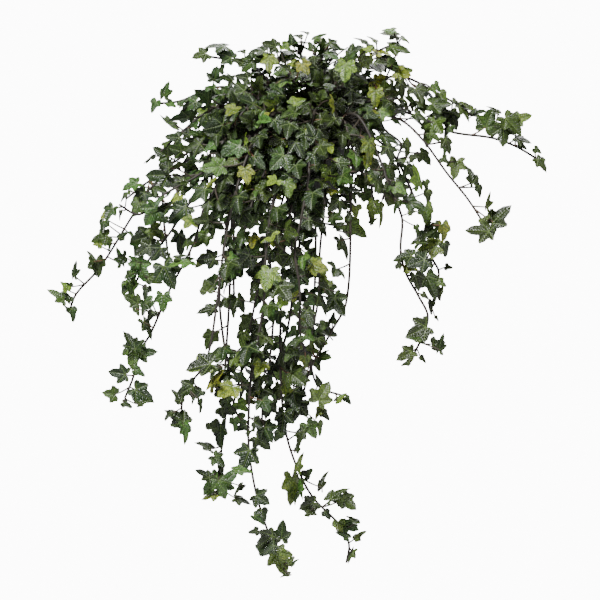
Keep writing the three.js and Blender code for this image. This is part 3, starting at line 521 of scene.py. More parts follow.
# Leaves of the rules that are left out, as the photo doesn't show them, by the seed of their stem or twig
LEFT_OUT = {
    1: (123,), 2: (141,), 5: (1003,), 6: (161,), 8: (180,), 10: (170,), 13: (170, 1005),
    14: (140, 150, 170, 1008), 15: (181,), 16: (150, 170, 190, 191, 1002),
    17: (121, 124, 131, 133, 134, 150, 1008), 18: (121, 125, 131, 133, 145, 1004), 19: (110, 113, 115),
    20: (123, 124, 126), 21: (121, 122, 125), 23: (133, 134), 25: (123, 125, 140),
    27: (130, 131, 134, 141, 143), 28: (140, 141), 29: (1003,), 30: (140,), 32: (160,), 33: (160, 161),
    34: (200,), 35: (150,), 36: (160, 190), 37: (150, 160), 38: (130, 140), 43: (142,), 46: (132, 140),
    49: (140,), 52: (1002,), 207: (2000, 2002, 2003), 211: (2004,), 212: (2001,), 213: (2001,),
    216: (2001, 2002), 219: (2005,), 220: (2004,), 221: (2002,), 223: (2001, 2002), 224: (2001, 2002, 2003),
    226: (2000,), 513: (2001,), 682: (2000, 2001), 683: (2000,), 684: (2000, 2002), 685: (2001,),
    686: (2000,), 690: (2002,), 692: (2000,), 702: (2001,), 704: (2000,), 711: (2001,), 712: (2001,),
    713: (2001,), 720: (2001,), 721: (2001, 2002), 734: (2000,), 735: (2000, 2001), 772: (2001,),
    775: (2001,), 782: (2002,), 784: (2000,), 904: (2001,), 1023: (2000,),
}

# The share of a stem's length from which the rules add no leaves and no short twigs
PLACED_FROM = {
    "left_high": 0.5, "left_top": 0.55, "left_low": 0.42, "left_outer": 0.72, "left_inner": 0.66,
    "left_mid": 0.58, "trail_left_long": 0.88, "trail_left_fork": 0.72, "trail_inner_mid": 0.93,
    "trail_centre_left": 0.73, "trail_centre": 0.68, "trail_close": 0.88, "trail_centre_right": 0.9,
    "right_lower": 0.48, "right_small": 0.7, "right_mid": 0.42, "right_arch": 0.42, "right_reach": 0.38,
    "right_upper": 0.7, "right_top": 0.72,
}

# The thick growth round the pot
DENSE_REACH = 175
DENSE_ABOVE = -90

# Extra leaves by rule: where they start as a share of the bare foot, their spacing near the pot, at tips
# and elsewhere, their size near the pot, elsewhere and on forked stalks, its least share and its spread, how
# much more their blades scatter, and their stalks' share
EXTRA_TRIALS = 10
EXTRA_FROM = 0.62
TIP_FROM = 0.8
EXTRA_SPACING = (7, 16, 27)
EXTRA_SIZES = (0.72, 0.9, 0.7)
EXTRA_SPREAD = (0.7, 0.45)
EXTRA_UNRULY = 1.5
EXTRA_STALK_SHARE = 0.75

# Stalks that fork: where, and the share of those away from the pot that don't
FORK_AT = 0.4
UNFORKED = 0.65

# Rough shapes that keep leaves from crossing: half the room between a leaf's two sheets, from which share of
# its stalk a leaf counts when it is tried and when it stands, and the steps and radius of the stems' guards
GUARD = 0.9
PLACED_GUARD_FROM = (0.5, 0.3)
EXTRA_GUARD_FROM = (0.3, 0.15)
STEM_GUARD_STEP = 12
STEM_GUARD = 1.8
BOX_ROOM = 8

# How large the fine blades are against the solids' plain ones, round the pot and on the trails
DENSE_SHARE = 0.8
TRAIL_SHARE = 0.9

# Gaps that show between the stems from the front: place across and up, half width and half height
OPENINGS = [
    (-226, 10, 29, 22), (-210, 74, 16, 14), (-187, 91, 13, 11), (-301, -74, 32, 19),
    (-206, -256, 22, 90), (-139, -307, 32, 32), (-184, -346, 19, 26), (94, -184, 34, 80),
    (123, -8, 29, 29), (200, -112, 29, 72), (162, -291, 13, 22), (211, -280, 22, 35),
    (-69, -534, 32, 21), (-13, -637, 22, 35), (-256, -472, 40, 40), (-237, -424, 19, 32),
    (46, -451, 19, 24), (-115, -613, 16, 19), (-322, -232, 16, 16), (178, 99, 26, 16),
    (-354, -138, 32, 22), (27, -170, 22, 29), (-158, -312, 16, 22), (-118, -344, 14, 20),
    (150, -70, 26, 22), (128, -52, 16, 16), (-215, -45, 18, 14), (-22, -240, 12, 22),
    (150, -262, 14, 20), (-60, -232, 12, 16), (43, -224, 22, 44), (88, -160, 20, 24),
]

# The same for the dark hollows of the crown, which have leaves behind them, the depth where those begin, and
# where the middle of a blade is taken to be
HOLLOWS = [(50, 22, 20, 58), (32, -78, 14, 30), (-6, -62, 10, 14)]
HOLLOW_BEFORE = -20
BLADE_MIDDLE = 0.4

# Half of a leaf's outline, from the stalk to the point: degrees off the midrib, and the distance from the
# stalk on a deeply lobed leaf and on a full one
FIVE_LOBES = [
    (180, 0.015, 0.015), (152, 0.14, 0.17), (138, 0.26, 0.33), (128, 0.35, 0.41), (119, 0.42, 0.45),
    (110, 0.42, 0.46), (102, 0.385, 0.445), (95, 0.335, 0.42), (88, 0.34, 0.43), (81, 0.41, 0.48),
    (74, 0.5, 0.54), (67, 0.575, 0.585), (61, 0.645, 0.625), (56, 0.665, 0.64), (50, 0.605, 0.615),
    (44, 0.53, 0.58), (38, 0.475, 0.55), (32, 0.485, 0.56), (27, 0.57, 0.615), (22, 0.665, 0.685),
    (16, 0.77, 0.78), (8, 0.9, 0.9), (0, 1, 1),
]
THREE_LOBES = [
    (180, 0.015, 0.015), (145, 0.16, 0.19), (122, 0.31, 0.36), (104, 0.38, 0.44), (90, 0.41, 0.47),
    (78, 0.47, 0.51), (68, 0.52, 0.53), (58, 0.48, 0.52), (46, 0.42, 0.5), (34, 0.46, 0.53),
    (25, 0.56, 0.6), (17, 0.7, 0.72), (9, 0.86, 0.86), (0, 1, 1),
]

# Blades in leaf lengths: the height of their teeth, their rings above and below as shares of the outline,
# the veins' angles, width and number of finer ones, half the thickness in millimetres, how tip and sides
# droop, and where the blade's own map starts behind its foot and how wide it is
TOOTH = (0.01, 0.045)
RING_SHARES = (0.4, 0.75)
UNDER_RING = 0.6
VEIN_ANGLES = (0, 57, 118)
VEIN_WIDTH = 0.02
FINE_VEINS = 8.5
BLADE_HALF = 0.35
LOBE_DROOP = (0.1, 0.2)
MAP_START = 0.3
MAP_SIZE = 1.5

# How blades differ, and how much of it the solids' and placed leaves take up: the outer part's shortening
# and where it starts, waves in the outline by count, first draw and height, the width, the fold, the height
# of the quilting and how fast it starts, the twist, the curl and the ripples
SOLID_LOOSE = 0.6
SHORTENING = (0, 0.3)
SHORT_FROM = 0.45
WAVES = [(2, 0, 0.09), (3, 2, 0.08)]
WIDTH_CHANGE = (-0.12, 0.1)
FOLD = (0.75, 0.12)
QUILT = (0.05, 2.5)
TWIST = (-0.2, 0.2)
CURL = (-0.25, 0.1)
RIPPLE = (0.015, 0.05)

# Tones of the rules' leaves: the chance to be in each band or one before it, what it gains towards a young
# tip, and the band's limits. Leaves are bluer towards the left, over this many millimetres.
YOUNG_FROM = 0.6
TONE_BANDS = [
    (0.04, 0.03, (0.82, 1.0)), (0.14, 0.12, (0.5, 0.78)), (0.44, 0.25, (0.22, 0.45)), (1, 0, (0.0, 0.22)),
]
COOL_ACROSS = 900

# Noises of the mottling: scale, detail and roughness
MOTTLES = {"Patches": (90.0, 3.0, 0.6), "Crinkle": (300.0, 1.0, 0.5), "Grain": (900.0, 2.0, 0.6)}

# How much of the underside's colour is mixed in under a leaf, and the colours of painted shade: darkening
# in the small dips and grooves of the leaves, and in fine specks on the bark and the compost
UNDER_SHARE = 0.45
LEAF_SHADE = (0.004, 0.008, 0.002)
BARK_SHADE = (0.01, 0.008, 0.006)
SOIL_SHADE = (0.006, 0.004, 0.003)

# The photo's frame: millimetres across it, and the place at its middle
PHOTO_WIDTH = 960
PHOTO_MIDDLE = (-20.8, -272)
CAMERA_AWAY = 20000
SENSOR_WIDTH = 36

# Lights: the place and the size in metres, and the power as a share of the main light's
LIGHTS = {
    "key": ((-1.0, -1.8, 2.1), 0.5, 1),
    "side": ((2.2, -1.6, 0.9), 1.2, 0.22),
    "behind": ((0.4, 2.4, 1.8), 1.6, 0.32),
}
AIM_HEIGHT = -0.15
WHITE = (1, 1, 1)


# Small helpers


def draw(*key):
    """A repeatable number from 0 to 1 for whole numbers, of which the last tells a thing's draws apart."""
    mixed = 2166136261
    for number in key:
        mixed = ((mixed ^ number) * 16777619) & 0xFFFFFFFF
        mixed ^= mixed >> 13
    mixed = ((mixed ^ (mixed >> 15)) * 2246822519) & 0xFFFFFFFF
    mixed ^= mixed >> 13
    return mixed / 4294967296


def between(value, limits):
    return limits[0] + (limits[1] - limits[0]) * value


def unit(v):
    return v / math.sqrt(v @ v)


def ring_point(angle, radius, height):
    turn = math.radians(angle)
    return (radius * math.cos(turn), radius * math.sin(turn), height)


UP = np.array([0.0, 0.0, 1.0])


class Route:
    """A smooth line through points, measured along its length."""

    DIVISIONS = 200
    REACH = 0.01

    def __init__(self, points):
        self.points = np.array(points, float)
        steps = np.array([self.place(i / self.DIVISIONS) for i in range(self.DIVISIONS + 1)])
        lengths = np.linalg.norm(np.diff(steps, axis=0), axis=1)
        self.arc = np.concatenate([[0], np.cumsum(lengths)])
        self.length = self.arc[-1]

    def place(self, share):
        """A centripetal Catmull-Rom spline, with a mirrored point past each end."""
        p = self.points
        at = (len(p) - 1) * share
        i = min(int(at), len(p) - 2)
        t = at - i
        b, c = p[i], p[i + 1]
        a = p[i - 1] if i > 0 else 2 * p[0] - p[1]
        d = p[i + 2] if i + 2 < len(p) else 2 * p[-1] - p[-2]
        before, step, after = (math.sqrt(math.dist(x, y)) for x, y in ((a, b), (b, c), (c, d)))
        leave = ((b - a) / before - (c - a) / (before + step) + (c - b) / step) * step
        reach = ((c - b) / step - (d - b) / (step + after) + (d - c) / after) * step
        return (b + leave * t + (3 * (c - b) - 2 * leave - reach) * t**2
                + (2 * (b - c) + leave + reach) * t**3)

    def at(self, fraction):
        shares = np.linspace(0, 1, self.DIVISIONS + 1)
        return self.place(float(np.interp(fraction * self.length, self.arc, shares)))

    def run(self, fraction):
        ahead = self.at(min(1, fraction + self.REACH))
        return unit(ahead - self.at(max(0, fraction - self.REACH)))


# Stems and where their leaves grow


def over_the_rim(angle, root_radius):
    low, middle, high = FOOT_HEIGHTS
    beyond = RIM_RADIUS + OVER_RIM
    return [
        ring_point(angle, root_radius, SOIL_TOP - ROOT_DEPTH),
        ring_point(angle, root_radius, low),
        ring_point(angle, (root_radius + beyond) / 2, middle),
        ring_point(angle, beyond, high),
    ]


def back_route(index, angle, reach, drop):
    arch_reach, arch_height = BACK_ARCH
    points = [ring_point(angle, arch_reach * reach, arch_height)]
    for turn, (out, down) in enumerate(BACK_ROUTE):
        sway = BACK_SWAY * (draw(index, turn) - 0.5) if turn else 0
        points.append(ring_point(angle + sway, out * reach, -down * drop))
    return points


def crown_route(index):
    angle = index * GOLDEN_ANGLE
    share = (index + 0.5) / CROWN_STEMS
    radius = CROWN_ROOT_STEP * math.sqrt(index + 0.6)
    reach = between(share, CROWN_REACH) + radius
    height = between(share, CROWN_HEIGHT)
    return [
        ring_point(angle, radius, SOIL_TOP - ROOT_DEPTH),
        ring_point(angle, radius, FOOT_HEIGHTS[0]),
        *[ring_point(angle, radius + out * reach, rise * height) for out, rise in CROWN_ROUTE],
        ring_point(angle, reach, height),
    ]


def stem_of(name, seed, points, foot, spacing, leaf=1.0, side=0):
    """A stem's route, with the stations where the solids' leaves grow."""
    route = Route(points)
    count = round_half_up((route.length - foot) / spacing)
    distances = [0, foot / 2] + [foot + i * (route.length - foot) / count for i in range(count + 1)]
    fractions = [min(1, distance / route.length) for distance in distances]
    places = [route.at(fraction) for fraction in fractions]
    stations = []
    for i in range(count + 1):
        row = i + 2
        last = i == count
        run = route.run(fractions[row])
        chord = run if last else unit(places[row + 1] - places[row])
        root = places[row] + chord * (0 if last else STALK_OFFSET)
        stations.append(SimpleNamespace(number=i, root=root, run=run, fraction=fractions[row],
                                        last=last, distance=distances[row]))
    return SimpleNamespace(name=name, seed=seed, route=route, foot=foot, leaf=leaf, side=side,
                           stations=stations, leaves=[], twigs=[])


def round_half_up(value):
    return math.floor(value + 0.5)


def all_stems():
    stems = []

    def add(name, points, **growth):
        stems.append(stem_of(name, len(stems), points, **growth))

    def foot(angle, index):
        return over_the_rim(angle, ROOT_CIRCLES[index % len(ROOT_CIRCLES)])

    for i, (name, rim, through, leaf, side) in enumerate(TRAILS):
        add(name, foot(rim, i) + through, foot=BARE_FOOT, spacing=TRAIL_SPACING, leaf=leaf, side=side)
    for i, (angle, reach, drop) in enumerate(BACK_TRAILS):
        points = foot(angle, i) + back_route(i, angle, reach, drop)
        add(f"back_{i + 1}", points, foot=BARE_FOOT, spacing=TRAIL_SPACING)
    for i in range(CROWN_STEMS):
        add(f"crown_{i + 1}", crown_route(i), foot=CROWN_FOOT, spacing=CROWN_SPACING, leaf=CROWN_LEAF)
    return stems


def leaf_plan(stem, station, trial, size=1.0, unruly=1.0, stalk_share=1.0):
    """One leaf that could grow at a station, or None where its stalk would bend too sharply."""

    def drawn(which, limits):
        return between(draw(stem.seed, station.number, trial, which), limits)

    def scatter(which, reach):
        return np.array([drawn(which + axis, (-reach, reach)) for axis in range(3)])

    root, run, last = station.root, station.run, station.last
    shrink = TIP_SHRINK * max(0, (station.fraction - SHRINK_FROM) / (1 - SHRINK_FROM))
    length = LEAF_LENGTH * stem.leaf * drawn(0, SIZE_RANGE) * (1 - shrink) * size

    facing = unit(np.array([root[0], root[1], max(0.0, root[2])])) + scatter(1, FACE_SCATTER * unruly)
    facing[2] += FACE_UP
    if root[1] < FRONT_UNTIL:
        facing[1] -= FACE_FRONT
    facing = unit(facing)

    turn = stem.side or (1 if station.number % 2 else -1)
    if last:
        stalk = run + scatter(4, LAST_STALK_SCATTER)
    else:
        stalk = (unit(np.cross(run, facing)) * turn * drawn(4, STALK_ACROSS)
                 + facing * drawn(5, STALK_OUT) + run * drawn(6, STALK_AHEAD))
    stalk = unit(stalk)
    stalk_length = stalk_share * length * (LAST_STALK_LENGTH if last else drawn(7, STALK_LENGTH))

    level = unit(np.array([root[0], root[1], 0.0]))
    towards = unit(stalk - UP * drawn(8, DROOP) + level * drawn(9, SPLAY)
                   + scatter(10, BLADE_SCATTER * unruly))
    normal = facing - towards * (facing @ towards)
    if towards @ stalk < LEAST_AHEAD or math.sqrt(normal @ normal) < LEAST_FACING:
        return None
    return SimpleNamespace(root=root, base=root + stalk * stalk_length, stalk=stalk, towards=towards,
                           normal=unit(normal), length=length, stalk_length=stalk_length)


def solid_leaves(stem):
    """The plans of the leaves that the stem's solid holds, found again by the places of their points."""
    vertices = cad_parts[stem.name].data.vertices
    places = kdtree.KDTree(len(vertices))
    for i, vertex in enumerate(vertices):
        places.insert(vertex.co / MM, i)
    places.balance()
    leaves = []
    for station in stem.stations:
        for trial in range(TRIALS):
            plan = leaf_plan(stem, station, trial)
            if plan is None:
                continue
            point = plan.base + (plan.towards + plan.normal * TIP_RISE) * plan.length
            if places.find(Vector(point))[2] < FOUND_WITHIN:
                plan.station = station
                plan.length *= DENSE_SHARE if is_dense(plan.root) else TRAIL_SHARE
                leaves.append(plan)
                break
    return leaves


def placed_leaves(stem):
    """The leaves that are set one by one, a little in front of the stem that carries them."""
    leaves = []
    near, slope = PLACED_AHEAD
    for i, (share, x, z, heading, length, turn, lean, *rest) in enumerate(PLACED.get(stem.name, ())):
        tone, stands_for = (*rest, None, None)[:2]
        root = stem.route.at(share)
        base = np.array([x, root[1] - near - slope * math.hypot(x - root[0], z - root[2]), z])
        heading, turn, lean = (math.radians(angle) for angle in (heading, turn, lean))
        towards = np.array([math.cos(heading) * math.cos(lean), -math.sin(lean),
                            math.sin(heading) * math.cos(lean)])
        facing = unit(towards * towards[1] - np.array([0.0, 1.0, 0.0]))
        side = np.cross(towards, facing)
        side *= math.copysign(1, side[2])
        station = SimpleNamespace(number=PLACED_NUMBER + i, fraction=share, last=False)
        leaves.append(SimpleNamespace(root=root, base=base, stalk=unit(base - root), towards=towards,
                                      normal=facing * math.cos(turn) + side * math.sin(turn), length=length,
                                      stalk_length=math.dist(base, root), station=station, tone=tone,
                                      stands_for=stands_for))
    return leaves


def set_clear(crowd, leaf):
    """Brings a placed leaf forward by a few small steps where it would cross another."""
    first = leaf.base.copy()
    for _ in range(PLACED_STEPS):
        if crowd.is_clear(*guard_shape(leaf, PLACED_GUARD_FROM[0])):
            return
        leaf.base[1] -= PLACED_STEP
        turn_stalk(leaf)
    leaf.base = first
    turn_stalk(leaf)


def turn_stalk(leaf):
    leaf.stalk = unit(leaf.base - leaf.root)
    leaf.stalk_length = math.dist(leaf.base, leaf.root)


def placed_from(stem):
    beyond_the_tip = 2
    return PLACED_FROM.get(stem.name, beyond_the_tip)


def is_dense(place):
    """Whether a place is in the thick growth round the pot."""
    return math.hypot(place[0], place[1]) < DENSE_REACH and place[2] > DENSE_ABOVE


class Crowd:
    """What has already grown, in cells, so that a new leaf is only tried against what is near it."""

    CELL = 50

    def __init__(self):
        self.cells = {}
        self.count = 0

    def keys(self, low, high):
        spans = [range(math.floor(a / self.CELL), math.floor(b / self.CELL) + 1)
                 for a, b in zip(low, high)]
        return [(x, y, z) for x in spans[0] for y in spans[1] for z in spans[2]]

    def add(self, points, triangles):
        tree = BVHTree.FromPolygons(points.tolist(), triangles)
        low, high = points.min(0), points.max(0)
        for key in self.keys(low, high):
            self.cells.setdefault(key, []).append((self.count, tree, low, high))
        self.count += 1

    def is_clear(self, points, triangles):
        tree = BVHTree.FromPolygons(points.tolist(), triangles)
        low, high = points.min(0), points.max(0)
        tried = set()
        for key in self.keys(low, high):
            for number, other, other_low, other_high in self.cells.get(key, ()):
                if number in tried:
                    continue
                tried.add(number)
                apart = (low > other_high).any() or (high < other_low).any()
                if not apart and tree.overlap(other):
                    return False
        return True


def guard_shape(plan, from_share):
    """A leaf as two coarse sheets a little apart, with a prism for the outer part of its stalk."""
    left = np.cross(plan.normal, plan.towards)
    outline = [(0, 0)] + coarse_outline(plan.length < FIVE_LOBED_FROM)
    points = []
    triangles = []
    for offset in (-GUARD, GUARD):
        first = len(points)
        for along, across in outline:
            rise = rise_at(along, across)
            points.append(plan.base + (plan.towards * along + left * across + plan.normal * rise)
                          * plan.length + plan.normal * offset)
        for i in range(1, len(outline) - 1):
            triangles.append((first, first + i, first + i + 1))
    start = plan.root + plan.stalk * plan.stalk_length * from_share
    first = len(points)
    side = unit(np.cross(plan.stalk, plan.normal))
    for centre in (start, plan.base):
        for turn in range(3):
            angle = turn * math.tau / 3
            points.append(centre + GUARD * (side * math.cos(angle)
                                            + np.cross(plan.stalk, side) * math.sin(angle)))
    for a, b in ((0, 1), (1, 2), (2, 0)):
        triangles.append((first + a, first + b, first + 3 + b))
        triangles.append((first + a, first + 3 + b, first + 3 + a))
    return np.array(points), triangles


def half_outline(three_lobed):
    turned = [(math.radians(angle), (deep + full) / 2)
              for angle, deep, full in (THREE_LOBES if three_lobed else FIVE_LOBES)]
    return [(reach * math.cos(angle), reach * math.sin(angle)) for angle, reach in turned]


@functools.lru_cache(maxsize=2)
def lobe_depth(three_lobed):
    """How much further out each outline point lies on a full leaf than on a middling one."""
    rows = THREE_LOBES if three_lobed else FIVE_LOBES
    half = [(full - deep) / (full + deep) for _, deep, full in rows]
    return np.array(half + half[-2::-1])


def coarse_outline(three_lobed):
    half = half_outline(three_lobed)
    half = half[1::3]
    return half + [(along, -across) for along, across in reversed(half[:-1])]


def rise_at(along, across):
    """How far a blade stands above its plane: its lobes droop."""
    return -LOBE_DROOP[0] * along * along - LOBE_DROOP[1] * across * across


def extra_sites(stem):
    """Places for more leaves: between the stations, and where a leaf's stalk forks."""
    route = stem.route
    near, tip, elsewhere = EXTRA_SPACING
    dense_size, usual_size, fork_size = EXTRA_SIZES
    ends = [stem.foot * EXTRA_FROM] + [station.distance for station in stem.stations]
    for i, (start, end) in enumerate(zip(ends, ends[1:])):
        fraction = min(1, (start + end) / 2 / route.length)
        if fraction > placed_from(stem):
            break
        dense = is_dense(route.at(fraction))
        spacing = near if dense else tip if fraction > TIP_FROM else elsewhere
        count = max(1, round_half_up((end - start) / spacing) - 1)
        for k in range(count):
            distance = start + (k + 1) * (end - start) / (count + 1)
            yield site_at(stem, BETWEEN_NUMBER + 10 * i + k, distance), dense_size if dense else usual_size
    for leaf in list(stem.leaves):
        station = leaf.station
        if station.last or station.fraction > placed_from(stem) or station.number >= BETWEEN_NUMBER:
            continue
        if not is_dense(leaf.root) and draw(stem.seed, station.number, 78) < UNFORKED:
            continue
        root = leaf.root + leaf.stalk * leaf.stalk_length * FORK_AT
        yield SimpleNamespace(number=FORK_NUMBER + station.number, root=root, run=leaf.stalk,
                              fraction=station.fraction, last=False), fork_size


def site_at(stem, number, distance):
    fraction = distance / stem.route.length
    return SimpleNamespace(number=number, root=stem.route.at(fraction), run=stem.route.run(fraction),
                           fraction=fraction, last=False)


def grow_twigs(stems):
    """Side twigs on the stems, each a small stem of its own."""
    named = {stem.name: stem for stem in stems}
    for i, (name, share, steps, leaf) in enumerate(TWIGS):
        stem = named[name]
        start = stem.route.at(share)
        points = [start] + [start + np.array(step, float) for step in steps]
        stem.twigs.append(stem_of(name, TWIG_SEED + i, points, TWIG_FOOT, TWIG_SPACING, leaf))
    for stem in stems:
        first = stem.foot * SHORT_TWIG_FROM
        for i, distance in enumerate(np.arange(first, stem.route.length, SHORT_TWIG_STEP)):
            start = stem.route.at(distance / stem.route.length)
            if not is_dense(start) or distance / stem.route.length > placed_from(stem):
                continue
            seed = SHORT_TWIG_SEED + 10 * stem.seed + i
            level = unit(np.array([start[0], start[1] - SHORT_TWIG_CENTRE, 0]))
            aside = np.array([-level[1], level[0], 0])
            out = unit(level * between(draw(seed, 1), SHORT_TWIG_OUT)
                       + UP * between(draw(seed, 2), SHORT_TWIG_UP)
                       + aside * between(draw(seed, 3), SHORT_TWIG_ASIDE))
            reach = between(draw(seed, 4), SHORT_TWIG)
            points = [start, start + out * reach * SHORT_TWIG_BEND,
                      start + out * reach - UP * reach * SHORT_TWIG_SAG]
            twig = stem_of(stem.name, seed, points, TWIG_FOOT, TWIG_SPACING, SHORT_TWIG_LEAF)
            stem.twigs.append(twig)


def grow_leaf(crowd, stem, site, size, stalk_share):
    """Adds the first leaf that finds room at a site."""
    least, spread = EXTRA_SPREAD
    size *= least + spread * draw(stem.seed, site.number, 77)
    tried_from, kept_from = EXTRA_GUARD_FROM
    for trial in range(EXTRA_TRIALS):
        plan = leaf_plan(stem, site, trial, size, EXTRA_UNRULY, stalk_share)
        if plan is None or in_opening(plan):
            continue
        shape = guard_shape(plan, tried_from)
        if outside_box(shape[0]) or not crowd.is_clear(*shape):
            continue
        plan.station = site
        stem.leaves.append(plan)
        crowd.add(*guard_shape(plan, kept_from))
        break


def in_opening(plan):
    x, y, z = plan.base + plan.towards * plan.length * BLADE_MIDDLE
    places = OPENINGS + (HOLLOWS if y < HOLLOW_BEFORE else [])
    return any(((x - a) / wide) ** 2 + ((z - b) / high) ** 2 < 1 for a, b, wide, high in places)


@functools.lru_cache(maxsize=1)
def grown_stems():
    """Every stem with its leaves: the solids', the placed ones and the rules' that find room and stay."""
    stems = all_stems()
    crowd = Crowd()
    pot = bpy.data.objects["pot"].data
    points = np.array([vertex.co for vertex in pot.vertices]) / MM
    crowd.add(points, [tuple(polygon.vertices) for polygon in pot.polygons])
    placed = {}
    for stem in stems:
        add_stem_guard(crowd, stem)
        placed[stem.name] = placed_leaves(stem)
        moved = {leaf.stands_for for leaf in placed[stem.name]}
        stem.leaves = [leaf for leaf in solid_leaves(stem) if leaf.station.number not in moved]
        for leaf in stem.leaves:
            crowd.add(*guard_shape(leaf, 0))
    for stem in stems:
        for leaf in placed[stem.name]:
            set_clear(crowd, leaf)
            crowd.add(*guard_shape(leaf, PLACED_GUARD_FROM[1]))
            stem.leaves.append(leaf)
    grow_twigs(stems)
    for stem in stems:
        for twig in stem.twigs:
            for station in twig.stations:
                station.number += TWIG_NUMBER
                grow_leaf(crowd, twig, station, TWIG_LEAF_SIZE, TWIG_STALK_SHARE)
    for stem in stems:
        for site, size in extra_sites(stem):
            grow_leaf(crowd, stem, site, size, EXTRA_STALK_SHARE)
    for stem in stems:
        for branch in (stem, *stem.twigs):
            absent = LEFT_OUT.get(branch.seed, ())
            branch.leaves = [leaf for leaf in branch.leaves if leaf.station.number not in absent]
        stem.twigs = [twig for twig in stem.twigs if twig.leaves]
    return {stem.name: stem for stem in stems}


def outside_box(points):
    low, high = (np.array(corner) / MM for corner in CAD_BOX)
    return (points.min(0) < low - BOX_ROOM).any() or (points.max(0) > high + BOX_ROOM).any()


def add_stem_guard(crowd, stem):
    """A run of three-sided prisms along a stem, which leaves aren't to cross."""
    count = max(4, int(stem.route.length / STEM_GUARD_STEP))
    places = [stem.route.at(i / count) for i in range(count + 1)]
    for a, b in zip(places, places[1:]):
        run = unit(b - a)
        side = unit(np.cross(run, UP + 0.01))
        other = np.cross(run, side)
        points = [centre + STEM_GUARD * (side * math.cos(turn) + other * math.sin(turn))
                  for centre in (a, b) for turn in (0, math.tau / 3, 2 * math.tau / 3)]
        triangles = []
        for i, j in ((0, 1), (1, 2), (2, 0)):
            triangles.append((i, j, 3 + j))
            triangles.append((i, 3 + j, 3 + i))
        crowd.add(np.array(points), triangles)


# Meshes


class Sheaf:
    """Gathers vertices, faces, their materials and two sets of values, and makes one mesh of them."""

    def __init__(self):
        self.places = []
        self.faces = []
        self.slots = []
        self.maps = []
        self.values = []
        self.count = 0

    def add(self, places, faces, slots, maps, value):
        self.places.append(places)
        self.maps.append(maps)
        self.values.append(np.tile(value, (len(places), 1)))
        self.faces.extend(tuple(i + self.count for i in face) for face in faces)
        self.slots.extend(slots)
        self.count += len(places)

    def mesh(self, name, materials):
        mesh = bpy.data.meshes.new(name)
        mesh.from_pydata((np.concatenate(self.places) * MM).tolist(), [], self.faces)
        for material in materials:
            mesh.materials.append(material)
        mesh.polygons.foreach_set("material_index", self.slots)
        corner = np.zeros(len(mesh.loops), int)
        mesh.loops.foreach_get("vertex_index", corner)
        maps = np.concatenate(self.maps)[corner]
        mesh.uv_layers.new(name="blade").data.foreach_set("uv", maps.astype(np.float32).ravel())
        values = mesh.attributes.new("leaf", "FLOAT_COLOR", "POINT")
        values.data.foreach_set("color", np.concatenate(self.values).astype(np.float32).ravel())
        mesh.shade_smooth()
        mesh.set_sharp_from_angle(angle=math.radians(75))
        mesh.validate()
        return mesh


def bridge(few, many, size, turned):
    """Faces from a ring with every second point to the ring around it with all of them."""
    faces = []
    half = size // 2 + 1
    for i in range(half - 1):
        a, b = few + i, few + i + 1
        c, d, e = many + 2 * i, many + 2 * i + 1, many + 2 * i + 2
        faces += [(a, d, c), (a, b, d), (b, e, d)]
    faces.append((few + half - 1, few, many, many + size - 1))
    return [face[::-1] for face in faces] if turned else faces


@functools.lru_cache(maxsize=2)
def leaf_pattern(three_lobed):
    """A blade's rings in the plane, from its stalk outwards, and its faces."""
    half = half_outline(three_lobed)
    outline = np.array(half + [(u, -v) for u, v in reversed(half[:-1])])
    size = len(outline)
    shares = np.concatenate([np.full(size // 2 + 1, RING_SHARES[0]), np.full(size, RING_SHARES[1]),
                             np.ones(size), np.full(size // 2 + 1, UNDER_RING)])
    every, second = np.arange(size), np.arange(0, size, 2)
    sources = np.concatenate([second, every, every, second])
    flat = np.concatenate([[(0, 0)], outline[sources] * shares[:, None], [(0, 0)]])
    depth = np.concatenate([[1], 1 - shares**2, [-1]])
    half = size // 2 + 1
    depth[-half - 1:-1] *= -1
    inner, middle, edge, below = 1, 1 + half, 1 + half + size, 1 + half + 2 * size
    faces = []
    for i in range(half):
        faces.append((0, inner + (i + 1) % half, inner + i))
    faces += bridge(inner, middle, size, False)
    for i in range(size):
        j = (i + 1) % size
        faces.append((middle + i, middle + j, edge + j, edge + i))
    slots = [1] * len(faces)
    for i in range(half):
        faces.append((len(flat) - 1, below + i, below + (i + 1) % half))
    faces += bridge(below, edge, size, True)
    slots += [2] * (len(faces) - len(slots))
    return flat, depth, faces, slots, np.append(np.insert(shares, 0, 0), 0), sources


